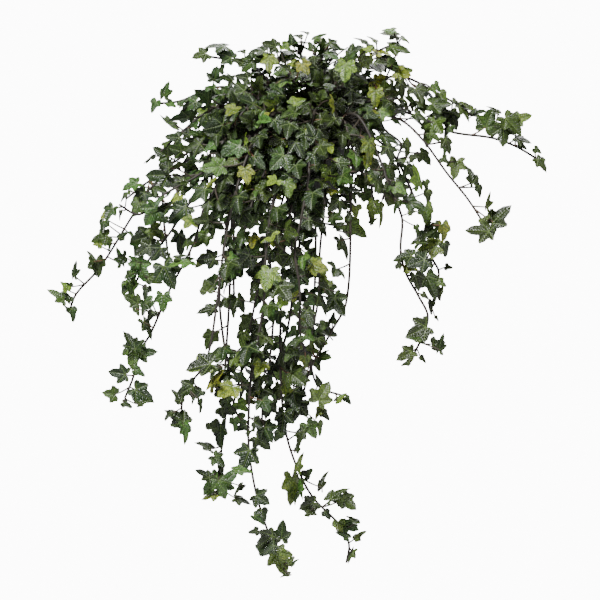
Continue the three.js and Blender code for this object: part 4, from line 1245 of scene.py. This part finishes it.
def add_blade(sheaf, stem, leaf):
    """A thin lens-shaped blade with drooping lobes, quilted between its veins."""
    number = leaf.station.number
    extra = BETWEEN_NUMBER <= number < PLACED_NUMBER

    def drawn(which, low, high):
        return between(draw(stem.seed, number, 900 + which), (low, high))

    flat, depth, faces, slots, shares, sources = leaf_pattern(leaf.length < FIVE_LOBED_FROM)
    fullness = drawn(13, -1, 1) * lobe_depth(leaf.length < FIVE_LOBED_FROM)
    teeth = drawn(14, *TOOTH) * np.cos(np.arange(len(fullness)) * math.pi + drawn(15, -1, 1))
    scale = 1 + np.concatenate([[0], (fullness + teeth)[sources], [0]]) * shares**2
    u, v = flat[:, 0] * scale, flat[:, 1] * scale
    angle = np.arctan2(v, u)
    radius = np.hypot(u, v)
    loose = 1.0 if extra else SOLID_LOOSE
    reach = 1 - loose * drawn(11, *SHORTENING)
    u = np.where(u > SHORT_FROM, SHORT_FROM + (u - SHORT_FROM) * reach, u)
    warp = 1 + loose * sum(drawn(which, -height, height) * np.sin(count * angle + drawn(which + 1, 0, 6))
                           for count, which, height in WAVES)
    fold = loose * (FOLD[0] * drawn(5, 0, 1) ** 2 - FOLD[1])
    u, v = u * warp, v * warp * (1 + loose * drawn(4, *WIDTH_CHANGE)) / math.hypot(1, fold)
    height, start = QUILT
    quilt = height * np.sin(np.pi * vein_place(angle)) ** 2 * np.minimum(1, radius * start)
    rise = rise_at(u, v) + quilt + fold * np.abs(v)
    rise += loose * (drawn(6, *TWIST) * u * v + drawn(7, *CURL) * u * u
                     + drawn(12, *RIPPLE) * np.sin(5 * angle + drawn(8, 0, 6)) * radius)
    left = np.cross(leaf.normal, leaf.towards)
    places = (leaf.base + leaf.length * (np.outer(u, leaf.towards) + np.outer(v, left)
                                         + np.outer(rise, leaf.normal))
              + np.outer(depth * BLADE_HALF, leaf.normal))
    maps = np.stack([(flat[:, 0] + MAP_START) / MAP_SIZE, 0.5 + flat[:, 1] / MAP_SIZE], axis=1)
    cool = 0.5 - leaf.base[0] / COOL_ACROSS + drawn(10, -0.5, 0.5)
    sheaf.add(places, faces, slots, maps, (leaf_tone(stem, leaf), drawn(9, 0, 1), min(1, max(0, cool)), 1))


def vein_place(angle):
    """How far an angle lies between the veins on either side of it, from 0 to 1."""
    turn = np.degrees(np.abs(angle))
    places = [0, *VEIN_ANGLES[1:], 180]
    return np.interp(turn, places, np.arange(len(places))) % 1


def leaf_tone(stem, leaf):
    """From 0, an old dark leaf, to 1, a fresh yellow-green one."""
    if leaf.station.number >= PLACED_NUMBER and leaf.tone is not None:
        return leaf.tone
    chance = draw(stem.seed, leaf.station.number, 950)
    young = max(0, (leaf.station.fraction - YOUNG_FROM) / (1 - YOUNG_FROM))
    limits = next(band for first, gain, band in TONE_BANDS if chance < first + gain * young)
    return between(draw(stem.seed, leaf.station.number, 951), limits)


def add_tube(sheaf, places, radii, sides, value):
    """A round tube along a list of places, closed at its far end."""
    count = len(places)
    runs = [unit(places[min(i + 1, count - 1)] - places[max(i - 1, 0)]) for i in range(count)]
    upright = 0.9
    across = np.cross(runs[0], UP if abs(runs[0][2]) < upright else np.array([1.0, 0, 0]))
    turns = np.arange(sides) * math.tau / sides
    rings = []
    for place, run, radius in zip(places, runs, radii):
        across = unit(across - run * (across @ run))
        other = np.cross(run, across)
        rings.append(place + radius * (np.outer(np.cos(turns), across) + np.outer(np.sin(turns), other)))
    rings.append(places[-1:] + np.zeros((1, 3)))
    faces = []
    for row in range(count - 1):
        for side in range(sides):
            a, b = row * sides + side, row * sides + (side + 1) % sides
            faces.append((a, b, b + sides, a + sides))
    end = (count - 1) * sides
    for side in range(sides):
        faces.append((end + side, end + (side + 1) % sides, count * sides))
    steps = np.concatenate([[0], np.cumsum(np.linalg.norm(np.diff(places, axis=0), axis=1))])
    map_length = 50
    along = np.append(np.repeat(steps, sides), steps[-1]) / map_length
    around = np.append(np.tile(np.arange(sides) / sides, count), 0.5)
    sheaf.add(np.concatenate(rings), faces, [0] * len(faces), np.stack([along, around], axis=1), value)


def add_stem_tube(sheaf, stem, sizes):
    """A stem's own wood, a little thicker where leaves leave it."""
    route = stem.route
    count = int(route.length / STEM_STEP)
    nodes = np.array([leaf.station.fraction * route.length for leaf in stem.leaves
                      if leaf.station.number < FORK_NUMBER])
    places = np.array([route.at(i / count) for i in range(count + 1)])
    height, width = SWELLING
    radii = []
    for i in range(count + 1):
        fraction = i / count
        near = np.abs(nodes - fraction * route.length).min() if len(nodes) else math.inf
        swelling = height * math.exp(-((near / width) ** 2))
        rough = STEM_ROUGHNESS * (draw(stem.seed, i, 31) - 0.5)
        radii.append(between(fraction, (sizes.root_radius / MM, sizes.tip_radius / MM)) + swelling + rough)
    tone = 1 if stem.name == PALE_STEM else 0.3 * draw(stem.seed, 40)
    add_tube(sheaf, places, radii, STEM_SIDES, (tone, 0.5, 0, 1))


def add_stalk(sheaf, stem, leaf, sizes):
    """A leaf stalk that leaves its stem straight, bows a little and turns under the blade."""
    number = leaf.station.number
    bow = np.cross(leaf.stalk, leaf.normal) * (draw(stem.seed, number, 960) - 0.5) * STALK_BOW
    along, under = STALK_END
    end = leaf.base + leaf.towards * leaf.length * along - leaf.normal * under
    control = (leaf.root + end) / 2 + (bow - UP * STALK_SAG) * leaf.stalk_length
    steps = np.linspace(0, 1, STALK_PLACES)[:, None]
    places = leaf.root * (1 - steps) ** 2 + control * 2 * steps * (1 - steps) + end * steps**2
    thin = THINNEST + (1 - THINNEST) * min(1, leaf.length / LEAF_LENGTH)
    radii = [thin * between(t, (sizes.stalk_radius / MM, STALK_TIP_RADIUS)) for t in steps[:, 0]]
    values = (leaf_tone(stem, leaf), draw(stem.seed, number, 41), 1, 1)
    add_tube(sheaf, places, radii, STALK_SIDES, values)


def make_stem(name):
    """One leafy stem as a single piece, in the place of its solid."""
    stem = grown_stems()[name]
    sizes = bpy.context.scene.ivy_stems
    sheaf = Sheaf()
    add_stem_tube(sheaf, stem, sizes)
    for twig in stem.twigs:
        steps = np.linspace(0, 1, TWIG_PLACES)
        places = np.array([twig.route.at(step) for step in steps])
        radii = [between(step, (sizes.stalk_radius / MM, STALK_TIP_RADIUS)) for step in steps]
        half_woody = 0.4
        values = (draw(twig.seed, 40), draw(twig.seed, 41), half_woody, 1)
        add_tube(sheaf, places, radii, TWIG_SIDES, values)
    for branch in (stem, *stem.twigs):
        for leaf in branch.leaves:
            add_stalk(sheaf, branch, leaf, sizes)
            add_blade(sheaf, branch, leaf)
    materials = [stem_material(), blade_material(False), blade_material(True)]
    piece = new_object(f"leafy_{name}", sheaf.mesh(f"leafy_{name}", materials))
    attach(piece, "root")
    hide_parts(name)


def new_object(name, data):
    made = bpy.data.objects.new(name, data)
    bpy.context.scene.collection.objects.link(made)
    return made


# Shader node groups and materials


class Nodes:
    """Short ways to add nodes to one tree."""

    def __init__(self, tree):
        self.tree = tree

    def add(self, kind, **settings):
        node = self.tree.nodes.new(kind)
        for name, value in settings.items():
            setattr(node, name, value)
        return node

    def join(self, source, socket):
        """Links an output to a socket or sets its value. A colour of three values becomes opaque."""
        if isinstance(source, bpy.types.NodeSocket):
            self.tree.links.new(source, socket)
        elif socket.type == "RGBA":
            socket.default_value = (*source, 1)
        else:
            socket.default_value = source

    def feed(self, node, *values):
        """Joins values to a node's first sockets and gives its first output."""
        for value, socket in zip(values, node.inputs):
            self.join(value, socket)
        return node.outputs[0]

    def math(self, operation, *values, clamp=False):
        return self.feed(self.add("ShaderNodeMath", operation=operation, use_clamp=clamp), *values)

    def plus(self, a, b):
        return self.math("ADD", a, b)

    def minus(self, a, b):
        return self.math("SUBTRACT", a, b)

    def times(self, a, b):
        return self.math("MULTIPLY", a, b)

    def smooth(self, value, low, high, start=0.0, end=1.0):
        node = self.add("ShaderNodeMapRange", interpolation_type="SMOOTHSTEP")
        return self.feed(node, value, low, high, start, end)

    def mix(self, share, first, second, blend="MIX"):
        node = self.add("ShaderNodeMix", data_type="RGBA", blend_type=blend)
        self.join(share, node.inputs[0])
        self.join(first, node.inputs[6])
        self.join(second, node.inputs[7])
        return node.outputs[2]

    def choose(self, share, first, second):
        node = self.add("ShaderNodeMix", data_type="FLOAT")
        self.join(share, node.inputs[0])
        self.join(first, node.inputs[2])
        self.join(second, node.inputs[3])
        return node.outputs[0]

    def noise(self, coordinates, scale, detail, roughness):
        node = self.add("ShaderNodeTexNoise")
        self.join(coordinates, node.inputs["Vector"])
        self.join(scale, node.inputs["Scale"])
        self.join(detail, node.inputs["Detail"])
        self.join(roughness, node.inputs["Roughness"])
        return node.outputs["Fac"]

    def group(self, tree, **given):
        node = self.add("ShaderNodeGroup")
        node.node_tree = tree
        for name, value in given.items():
            self.join(value, node.inputs[name])
        return node.outputs

    def mottling(self, shift=0.0):
        """The mottling of a piece, in its own space."""
        space = self.add("ShaderNodeTexCoord").outputs["Object"]
        return self.group(mottle_group(), Vector=space, Shift=shift)

    def finish(self, shader, colour, roughness, height, strength, distance):
        """Joins a colour, a roughness and a bump to a shader."""
        self.join(colour, shader.inputs["Base Color"])
        self.join(roughness, shader.inputs["Roughness"])
        bump = self.add("ShaderNodeBump")
        self.join(strength, bump.inputs["Strength"])
        self.join(distance, bump.inputs["Distance"])
        self.join(height, bump.inputs["Height"])
        self.join(bump.outputs[0], shader.inputs["Normal"])


def new_group(name, inputs, outputs):
    """A shader node group with its named sockets. Inputs hold a kind and a first value."""
    tree = bpy.data.node_groups.new(name, "ShaderNodeTree")
    for title, (kind, value) in inputs.items():
        socket = tree.interface.new_socket(title, in_out="INPUT", socket_type=kind)
        if value is not None:
            socket.default_value = value
    for title, kind in outputs.items():
        tree.interface.new_socket(title, in_out="OUTPUT", socket_type=kind)
    nodes = Nodes(tree)
    return tree, nodes, nodes.add("NodeGroupInput").outputs, nodes.add("NodeGroupOutput").inputs


@functools.lru_cache(maxsize=1)
def vein_group():
    """Five veins that leave the stalk, and finer ones that leave them, in the blade's own map."""
    tree, nodes, given, made = new_group(
        "Leaf veins",
        {"Vector": ("NodeSocketVector", None), "Width": ("NodeSocketFloat", 0.012)},
        {"Main": "NodeSocketFloat", "Fine": "NodeSocketFloat", "Cells": "NodeSocketFloat"},
    )
    parts = nodes.add("ShaderNodeSeparateXYZ")
    nodes.join(given["Vector"], parts.inputs[0])
    u = nodes.math("MULTIPLY_ADD", parts.outputs[0], MAP_SIZE, -MAP_START)
    v = nodes.times(nodes.math("ABSOLUTE", nodes.minus(parts.outputs[1], 0.5)), MAP_SIZE)
    best = None
    for angle in VEIN_ANGLES:
        c, s = math.cos(math.radians(angle)), math.sin(math.radians(angle))
        along = nodes.plus(nodes.times(u, c), nodes.times(v, s))
        off = nodes.math("ABSOLUTE", nodes.minus(nodes.times(v, c), nodes.times(u, s)))
        far = nodes.times(nodes.math("LESS_THAN", along, 0.0), 9.0)
        off = nodes.plus(off, far)
        if best is None:
            best = (off, along)
            continue
        nearer = nodes.math("LESS_THAN", off, best[0])
        best = (nodes.choose(nearer, best[0], off), nodes.choose(nearer, best[1], along))
    off, along = best
    width = nodes.times(given["Width"], nodes.minus(1.35, along))
    main = nodes.minus(1.0, nodes.smooth(off, nodes.times(width, 0.35), width))
    slant = nodes.minus(along, nodes.times(off, 0.85))
    wave = nodes.math("FRACT", nodes.times(slant, FINE_VEINS))
    away = nodes.math("ABSOLUTE", nodes.minus(wave, 0.5))
    fine = nodes.minus(1.0, nodes.smooth(away, 0.02, 0.09))
    nodes.join(main, made["Main"])
    nodes.join(nodes.times(fine, nodes.smooth(off, 0.25, 0.04)), made["Fine"])
    nodes.join(nodes.times(nodes.smooth(away, 0.0, 0.45), nodes.smooth(off, 0.0, 0.09)), made["Cells"])
    return tree


@functools.lru_cache(maxsize=1)
def mottle_group():
    """Soft patches, a crinkle and a fine grain, each from its own noise."""
    tree, nodes, given, made = new_group(
        "Mottling",
        {"Vector": ("NodeSocketVector", None), "Shift": ("NodeSocketFloat", 0.0)},
        {title: "NodeSocketFloat" for title in MOTTLES},
    )
    shift = nodes.add("ShaderNodeCombineXYZ")
    nodes.join(nodes.times(given["Shift"], 7.3), shift.inputs[0])
    nodes.join(nodes.times(given["Shift"], 3.1), shift.inputs[2])
    moved = nodes.feed(nodes.add("ShaderNodeVectorMath", operation="ADD"), given["Vector"], shift.outputs[0])
    for title, (scale, detail, roughness) in MOTTLES.items():
        nodes.join(nodes.noise(moved, scale, detail, roughness), made[title])
    return tree


def new_material(name):
    material = bpy.data.materials.new(name)
    material.use_nodes = True
    return material, Nodes(material.node_tree), material.node_tree.nodes["Principled BSDF"]


def leaf_values(nodes):
    """The three values that a piece's parts carry: a tone, a chance, and how cool or how fresh they are."""
    values = nodes.add("ShaderNodeAttribute", attribute_name="leaf")
    parts = nodes.add("ShaderNodeSeparateColor")
    nodes.join(values.outputs["Color"], parts.inputs[0])
    return parts.outputs


def tone_ramp(nodes, tone, colours):
    """Evenly spaced colours, chosen by a tone from 0 to 1."""
    ramp = nodes.add("ShaderNodeValToRGB")
    stops = ramp.color_ramp.elements
    stops.remove(stops[1])
    stops[0].color = (*colours[0], 1)
    for i, colour in enumerate(colours[1:], 1):
        stops.new(i / (len(colours) - 1)).color = (*colour, 1)
    return nodes.feed(ramp, tone)


@functools.lru_cache(maxsize=2)
def blade_material(under):
    """The upper side of the leaves, or their paler and duller underside, where the veins stand out."""
    look = bpy.context.scene.ivy_leaves
    material, nodes, shader = new_material("leaf_underside" if under else "leaf_upper")
    tone, chance, coolness = leaf_values(nodes)
    plane = nodes.add("ShaderNodeUVMap", uv_map="blade").outputs[0]
    veins = nodes.group(vein_group(), Vector=plane, Width=VEIN_WIDTH)
    mottle = nodes.mottling(chance)
    colours = [look.dark, look.middle, look.bright, look.fresh]
    if under:
        colours = [[between(UNDER_SHARE, pair) for pair in zip(c, look.underside)] for c in colours]
    wandering = nodes.plus(tone, nodes.smooth(mottle["Patches"], 0.3, 0.7, -0.09, 0.12))
    tint = nodes.mix(coolness, look.warm_tint, look.cool_tint)
    tinted = nodes.mix(1, tone_ramp(nodes, wandering, colours), tint, "MULTIPLY")
    # Painted shade: the leaf's colour is darkened towards LEAF_SHADE in the dips of the crinkle and along
    # the sunken veins at the edges of the quilted cells
    shade = nodes.math("ADD", nodes.smooth(mottle["Crinkle"], 0.35, 0.65, 0.5, 0.0),
                       nodes.smooth(veins["Cells"], 0.0, 0.6, 0.35, 0.0), clamp=True)
    colour = nodes.mix(shade, tinted, LEAF_SHADE)
    for kind, strength in (("Fine", 0.5), ("Main", 0.75)):
        colour = nodes.mix(nodes.times(veins[kind], strength * look.vein_strength), colour, look.vein)
    dull = 0.22 if under else 0.0
    roughness = nodes.smooth(mottle["Patches"], 0.25, 0.75, look.roughness - 0.07 + dull,
                             look.roughness + 0.1 + dull)
    side = -1 if under else 1
    relief = nodes.plus(nodes.times(veins["Main"], -0.6 * side), nodes.times(veins["Cells"], 1.2 * side))
    relief = nodes.plus(relief, nodes.times(mottle["Crinkle"], 1.3))
    height = nodes.plus(relief, nodes.times(mottle["Grain"], 0.1))
    nodes.finish(shader, colour, roughness, height, strength=0.75, distance=0.001)
    nodes.join(0.25 if under else 0.45, shader.inputs["Specular IOR Level"])
    return material


@functools.lru_cache(maxsize=1)
def stem_material():
    """Dark woody stems and the greener stalks that leave them, told apart by the third value."""
    look = bpy.context.scene.ivy_stems
    material, nodes, shader = new_material("stem_bark")
    tone, chance, stalk = leaf_values(nodes)
    mottle = nodes.mottling(chance)
    pale = nodes.plus(nodes.times(tone, 0.8), nodes.smooth(mottle["Patches"], 0.35, 0.7, 0, 0.5))
    wood = nodes.mix(pale, look.bark, look.young_bark)
    fresh = nodes.mix(nodes.times(tone, 0.8), look.young_bark, look.stalk)
    warm = nodes.mix(nodes.smooth(chance, 0.75, 0.95, 0.0, 0.8), fresh, look.warm_stalk)
    colour = nodes.mix(stalk, wood, warm)
    # Painted shade: fine specks of the grain are darkened towards BARK_SHADE
    dark = nodes.mix(nodes.smooth(mottle["Grain"], 0.4, 0.7, 0.0, 0.5), colour, BARK_SHADE)
    roughness = nodes.smooth(mottle["Grain"], 0.2, 0.8, 0.5, 0.8)
    height = nodes.plus(mottle["Grain"], mottle["Patches"])
    nodes.finish(shader, dark, roughness, height, strength=0.6, distance=0.0004)
    return material


def pot_material():
    look = bpy.context.scene.ivy_pot
    material, nodes, shader = new_material("pot_plastic")
    mottle = nodes.mottling()
    dusty = nodes.mix(nodes.smooth(mottle["Patches"], 0.45, 0.75, 0.0, 0.35), look.plastic, look.dust)
    roughness = nodes.smooth(mottle["Patches"], 0.3, 0.8, 0.45, 0.68)
    nodes.finish(shader, dusty, roughness, mottle["Grain"], strength=0.25, distance=0.0003)
    return material


def soil_material():
    look = bpy.context.scene.ivy_pot
    material, nodes, shader = new_material("compost")
    mottle = nodes.mottling()
    dry = nodes.mix(nodes.smooth(mottle["Patches"], 0.4, 0.7), look.soil, look.dry_soil)
    # Painted shade: fine specks of the grain are darkened towards SOIL_SHADE
    dark = nodes.mix(nodes.smooth(mottle["Grain"], 0.4, 0.65, 0.0, 0.7), dry, SOIL_SHADE)
    roughness = nodes.smooth(mottle["Patches"], 0.2, 0.8, 0.75, 0.95)
    nodes.finish(shader, dark, roughness, mottle["Grain"], strength=1.0, distance=0.001)
    return material


def floor_material():
    material, nodes, shader = new_material("pale_floor")
    nodes.join(bpy.context.scene.ivy_stage.floor, shader.inputs["Base Color"])
    nodes.join(0.8, shader.inputs["Roughness"])
    return material


# Pot and compost


def lathe(name, profile, sides):
    """A closed body turned about the Z axis from a profile of radius and height."""
    shape = bmesh.new()
    rings = []
    for radius, height in profile:
        if radius == 0:
            rings.append([shape.verts.new((0, 0, height * MM))] * sides)
            continue
        ring = [ring_point(360 * i / sides, radius, height) for i in range(sides)]
        rings.append([shape.verts.new([x * MM for x in place]) for place in ring])
    for low, high in zip(rings, rings[1:]):
        for i in range(sides):
            j = (i + 1) % sides
            corners = list(dict.fromkeys((low[i], low[j], high[j], high[i])))
            shape.faces.new(corners)
    bmesh.ops.recalc_face_normals(shape, faces=shape.faces)
    mesh = bpy.data.meshes.new(name)
    shape.to_mesh(mesh)
    shape.free()
    return mesh


def inner_radius(height):
    rise = (height + POT_HEIGHT) / (POT_HEIGHT - RIM_HEIGHT)
    return BASE_RADIUS + (SHOULDER_RADIUS - BASE_RADIUS) * rise - WALL


def rounded(corner, before, after, radius, steps=4):
    """Places on a small arc that takes the place of a profile's corner."""
    corner, before, after = (np.array(p, float) for p in (corner, before, after))
    start = corner + unit(before - corner) * radius
    end = corner + unit(after - corner) * radius
    return [tuple(start * (1 - t) ** 2 + corner * 2 * t * (1 - t) + end * t**2)
            for t in np.linspace(0, 1, steps)]


def round_profile(points, radius):
    profile = [points[0]]
    for before, corner, after in zip(points, points[1:], points[2:]):
        profile.extend(rounded(corner, before, after, radius))
    return profile + [points[-1]]


def make_pot():
    """The pot, with rounded edges, and holes in its base."""
    floor = WALL - POT_HEIGHT
    points = [
        (0, -POT_HEIGHT), (BASE_RADIUS, -POT_HEIGHT), (SHOULDER_RADIUS, -RIM_HEIGHT),
        (RIM_RADIUS, -RIM_HEIGHT), (RIM_RADIUS, 0), (RIM_RADIUS - RIM_WALL, 0),
        (inner_radius(-RIM_HEIGHT), -RIM_HEIGHT), (inner_radius(floor), floor), (0, floor),
    ]
    piece = new_object("nursery_pot", lathe("nursery_pot", round_profile(points, EDGE_RADIUS), POT_SIDES))
    bottom, top = -POT_HEIGHT - WALL, floor + WALL
    profile = [(0, bottom), (DRAIN_RADIUS, bottom), (DRAIN_RADIUS, top), (0, top)]
    for i in range(DRAIN_HOLES):
        x, y, _ = ring_point(360 * (i + 0.5) / DRAIN_HOLES, DRAIN_CIRCLE, 0)
        plug = new_object("drain", lathe("drain", profile, HOLE_SIDES))
        plug.location = (x * MM, y * MM, 0)
        cut = piece.modifiers.new("drain", "BOOLEAN")
        cut.operation = "DIFFERENCE"
        cut.object = plug
        apply_modifiers(piece)
        bpy.data.objects.remove(plug)
    piece.data.materials.clear()
    piece.data.materials.append(pot_material())
    piece.data.shade_smooth()
    piece.data.set_sharp_from_angle(angle=math.radians(40))
    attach(piece, "root")
    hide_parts("pot")


def apply_modifiers(piece):
    """Puts the shape that the modifiers make into the piece's own mesh."""
    bpy.context.view_layer.update()
    seen = piece.evaluated_get(bpy.context.evaluated_depsgraph_get())
    mesh = bpy.data.meshes.new_from_object(seen)
    piece.modifiers.clear()
    piece.data = mesh


def make_soil():
    """Crumbly compost: a top that rises and falls between the stems, over a plain tapered body."""
    bottom = WALL - POT_HEIGHT + SEAT_GAP
    top_radius = inner_radius(SOIL_TOP) - SEAT_GAP
    profile = [(0, bottom), (inner_radius(bottom) - SEAT_GAP, bottom), (top_radius, SOIL_TOP)]
    profile += [(top_radius * (1 - i / SOIL_RINGS), SOIL_TOP) for i in range(1, SOIL_RINGS + 1)]
    mesh = lathe("compost", profile, POT_SIDES)
    for vertex in mesh.vertices:
        x, y, z = vertex.co / MM
        if z < SOIL_TOP - 0.01:
            continue
        reach = min(1, (top_radius - math.hypot(x, y)) / CRUMBS_END)
        crumb = sum(height * noise_at(x / width + shift, y / width) for height, width, shift in CRUMBS)
        vertex.co.z += (crumb * reach - CRUMBS_LOW) * MM
    piece = new_object("compost", mesh)
    mesh.materials.append(soil_material())
    mesh.shade_smooth()
    mesh.set_sharp_from_angle(angle=math.radians(50))
    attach(piece, "root")
    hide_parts("soil")


def noise_at(x, y):
    """Smooth random heights from -0.5 to 0.5 over a grid of draws."""
    column, row = math.floor(x), math.floor(y)
    a, b = x - column, y - row
    a, b = a * a * (3 - 2 * a), b * b * (3 - 2 * b)
    clear_of_zero = 5000
    corners = [draw(column + i + clear_of_zero, row + j + clear_of_zero, 61) for j in (0, 1) for i in (0, 1)]
    low = corners[0] * (1 - a) + corners[1] * a
    high = corners[2] * (1 - a) + corners[3] * a
    return low * (1 - b) + high * b - 0.5


# Stage


def make_stage():
    """A level camera in front, a round floor, a plain backdrop and the lights."""
    look = bpy.context.scene.ivy_stage
    x, z = PHOTO_MIDDLE
    camera = new_object("camera", bpy.data.cameras.new("camera"))
    camera.location = (x * MM, -CAMERA_AWAY * MM, z * MM)
    camera.rotation_euler = (math.pi / 2, 0, 0)
    camera.data.sensor_width = SENSOR_WIDTH
    camera.data.lens = SENSOR_WIDTH * CAMERA_AWAY / PHOTO_WIDTH
    camera.data.clip_end = 100
    bpy.context.scene.camera = camera

    bpy.ops.mesh.primitive_circle_add(vertices=128, radius=look.floor_radius, fill_type="NGON",
                                      location=(0, 0, look.floor_height))
    floor = bpy.context.active_object
    floor.name = "floor"
    floor.data.materials.append(floor_material())
    floor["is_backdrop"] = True

    world = bpy.data.worlds.new("studio")
    bpy.context.scene.world = world
    world.use_nodes = True
    nodes = Nodes(world.node_tree)
    light = world.node_tree.nodes["Background"]
    backdrop = nodes.add("ShaderNodeBackground")
    nodes.feed(light, WHITE, look.fill)
    nodes.feed(backdrop, WHITE, look.backdrop)
    seen = nodes.add("ShaderNodeLightPath").outputs["Is Camera Ray"]
    chosen = nodes.feed(nodes.add("ShaderNodeMixShader"), seen, light.outputs[0], backdrop.outputs[0])
    nodes.join(chosen, world.node_tree.nodes["World Output"].inputs[0])

    for name, (place, size, share) in LIGHTS.items():
        lamp = bpy.data.lights.new(name, "AREA")
        lamp.size = size
        lamp.energy = look.key * share
        lit = new_object(name, lamp)
        lit.location = place
        aim = Vector((x * MM, 0, AIM_HEIGHT)) - Vector(place)
        lit.rotation_euler = aim.to_track_quat("-Z", "Y").to_euler()


# Settings, operators and panel


def colour_property(name, description, default):
    return FloatVectorProperty(name=name, description=description, subtype="COLOR", size=3, min=0, max=1,
                               default=default)


def share_property(name, description, default):
    return FloatProperty(name=name, description=description, subtype="FACTOR", min=0, max=1, default=default)


def length_property(name, description, default, low, high):
    return FloatProperty(name=name, description=description, subtype="DISTANCE", unit="LENGTH", precision=4,
                         min=low, max=high, default=default)


class LeafSettings(bpy.types.PropertyGroup):
    dark: colour_property("Dark leaf", "Colour of an old leaf", (0.008, 0.0155, 0.003))
    middle: colour_property("Middle leaf", "Colour of a grown leaf", (0.028, 0.053, 0.0085))
    bright: colour_property("Bright leaf", "Colour of a leaf in full growth", (0.118, 0.205, 0.037))
    fresh: colour_property("Fresh leaf", "Colour of a young leaf", (0.38, 0.43, 0.05))
    warm_tint: colour_property("Warm tint", "What multiplies an olive leaf's colour", (1.0, 0.84, 0.55))
    cool_tint: colour_property("Cool tint", "What multiplies a bluish leaf's colour", (0.66, 1.0, 0.92))
    underside: colour_property("Underside", "Colour mixed in under a leaf", (0.08, 0.12, 0.03))
    vein: colour_property("Vein", "Colour of the veins", (0.17, 0.25, 0.07))
    vein_strength: share_property("Vein strength", "How plainly the veins show", 0.6)
    roughness: share_property("Roughness", "Roughness of a leaf's upper side", 0.3)


class StemSettings(bpy.types.PropertyGroup):
    root_radius: length_property("Root radius", "Radius of a stem at its foot", 0.0022, 0.0005, 0.004)
    tip_radius: length_property("Tip radius", "Radius of a stem at its tip", 0.0019, 0.0003, 0.003)
    stalk_radius: length_property("Stalk radius", "Radius of a leaf stalk's root", 0.0016, 0.0003, 0.002)
    bark: colour_property("Bark", "Colour of old stems", (0.012, 0.009, 0.0065))
    young_bark: colour_property("Young bark", "Colour of young stems", (0.035, 0.026, 0.016))
    stalk: colour_property("Stalk", "Colour of fresh stalks", (0.048, 0.048, 0.02))
    warm_stalk: colour_property("Warm stalk", "Colour of the few orange-brown stalks", (0.13, 0.06, 0.024))


class PotSettings(bpy.types.PropertyGroup):
    plastic: colour_property("Plastic", "Colour of the pot", (0.007, 0.007, 0.006))
    dust: colour_property("Dust", "Colour of the dust on the pot", (0.016, 0.0145, 0.012))
    soil: colour_property("Compost", "Colour of damp compost", (0.022, 0.014, 0.009))
    dry_soil: colour_property("Dry compost", "Colour of dry crumbs", (0.07, 0.048, 0.032))


class StageSettings(bpy.types.PropertyGroup):
    floor: colour_property("Floor", "Colour of the floor", (0.8, 0.8, 0.79))
    floor_height: length_property("Floor height", "Height of the floor", -1.0, -3, 0)
    floor_radius: length_property("Floor radius", "Radius of the floor", 2.2, 0.5, 10)
    fill: FloatProperty(name="Fill light", description="Strength of the light from all round", default=0.17,
                        min=0, max=10)
    backdrop: FloatProperty(name="Backdrop", description="Brightness of the background", default=12, min=0,
                            max=20)
    key: FloatProperty(name="Main light", description="Power of the main light", default=225, min=0,
                       max=1000, subtype="POWER", unit="POWER")


class IVY_OT_pot(bpy.types.Operator):
    """Make the nursery pot"""

    bl_idname = "ivy.pot"
    bl_label = "Pot"

    def execute(self, context):
        make_pot()
        return {"FINISHED"}


class IVY_OT_soil(bpy.types.Operator):
    """Make the compost in the pot"""

    bl_idname = "ivy.soil"
    bl_label = "Compost"

    def execute(self, context):
        make_soil()
        return {"FINISHED"}


class IVY_OT_trails(bpy.types.Operator):
    """Make the leafy stems that trail or arch past the pot"""

    bl_idname = "ivy.trails"
    bl_label = "Trailing stems"

    def execute(self, context):
        for name, *_ in TRAILS:
            make_stem(name)
        return {"FINISHED"}


class IVY_OT_back_stems(bpy.types.Operator):
    """Make the leafy stems that hang behind the pot"""

    bl_idname = "ivy.back_stems"
    bl_label = "Back stems"

    def execute(self, context):
        for i in range(len(BACK_TRAILS)):
            make_stem(f"back_{i + 1}")
        return {"FINISHED"}


class IVY_OT_crown(bpy.types.Operator):
    """Make the short leafy stems of the crown"""

    bl_idname = "ivy.crown"
    bl_label = "Crown"

    def execute(self, context):
        for i in range(CROWN_STEMS):
            make_stem(f"crown_{i + 1}")
        return {"FINISHED"}


class IVY_OT_stage(bpy.types.Operator):
    """Make the camera, the floor and the lights"""

    bl_idname = "ivy.stage"
    bl_label = "Stage"

    def execute(self, context):
        make_stage()
        return {"FINISHED"}


OPERATORS = [IVY_OT_pot, IVY_OT_soil, IVY_OT_trails, IVY_OT_back_stems, IVY_OT_crown, IVY_OT_stage]
SETTINGS = {
    "ivy_leaves": LeafSettings,
    "ivy_stems": StemSettings,
    "ivy_pot": PotSettings,
    "ivy_stage": StageSettings,
}


class IVY_PT_panel(bpy.types.Panel):
    """Lists the ivy's pieces and their settings"""

    bl_idname = "IVY_PT_panel"
    bl_label = "Potted ivy"
    bl_space_type = "VIEW_3D"
    bl_region_type = "UI"
    bl_category = "Ivy"

    def draw(self, context):
        for operator in OPERATORS:
            self.layout.operator(operator.bl_idname)
        for name, settings in SETTINGS.items():
            box = self.layout.box()
            for field in settings.__annotations__:
                box.prop(getattr(context.scene, name), field)


def register():
    for settings in SETTINGS.values():
        bpy.utils.register_class(settings)
    for cls in [*OPERATORS, IVY_PT_panel]:
        bpy.utils.register_class(cls)
    for name, settings in SETTINGS.items():
        setattr(bpy.types.Scene, name, PointerProperty(type=settings))


def unregister():
    for name in SETTINGS:
        delattr(bpy.types.Scene, name)
    for cls in [IVY_PT_panel, *reversed(OPERATORS), *SETTINGS.values()]:
        bpy.utils.unregister_class(cls)


def main():
    register()
    bpy.ops.ivy.stage()
    bpy.ops.ivy.pot()
    bpy.ops.ivy.soil()
    bpy.ops.ivy.trails()
    bpy.ops.ivy.back_stems()
    bpy.ops.ivy.crown()
    boxes = {"cad": CAD_BOX, "visual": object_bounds()}
    {name: [list(corner) for corner in box] for name, box in boxes.items()}


if __name__ == "__main__":
    main()
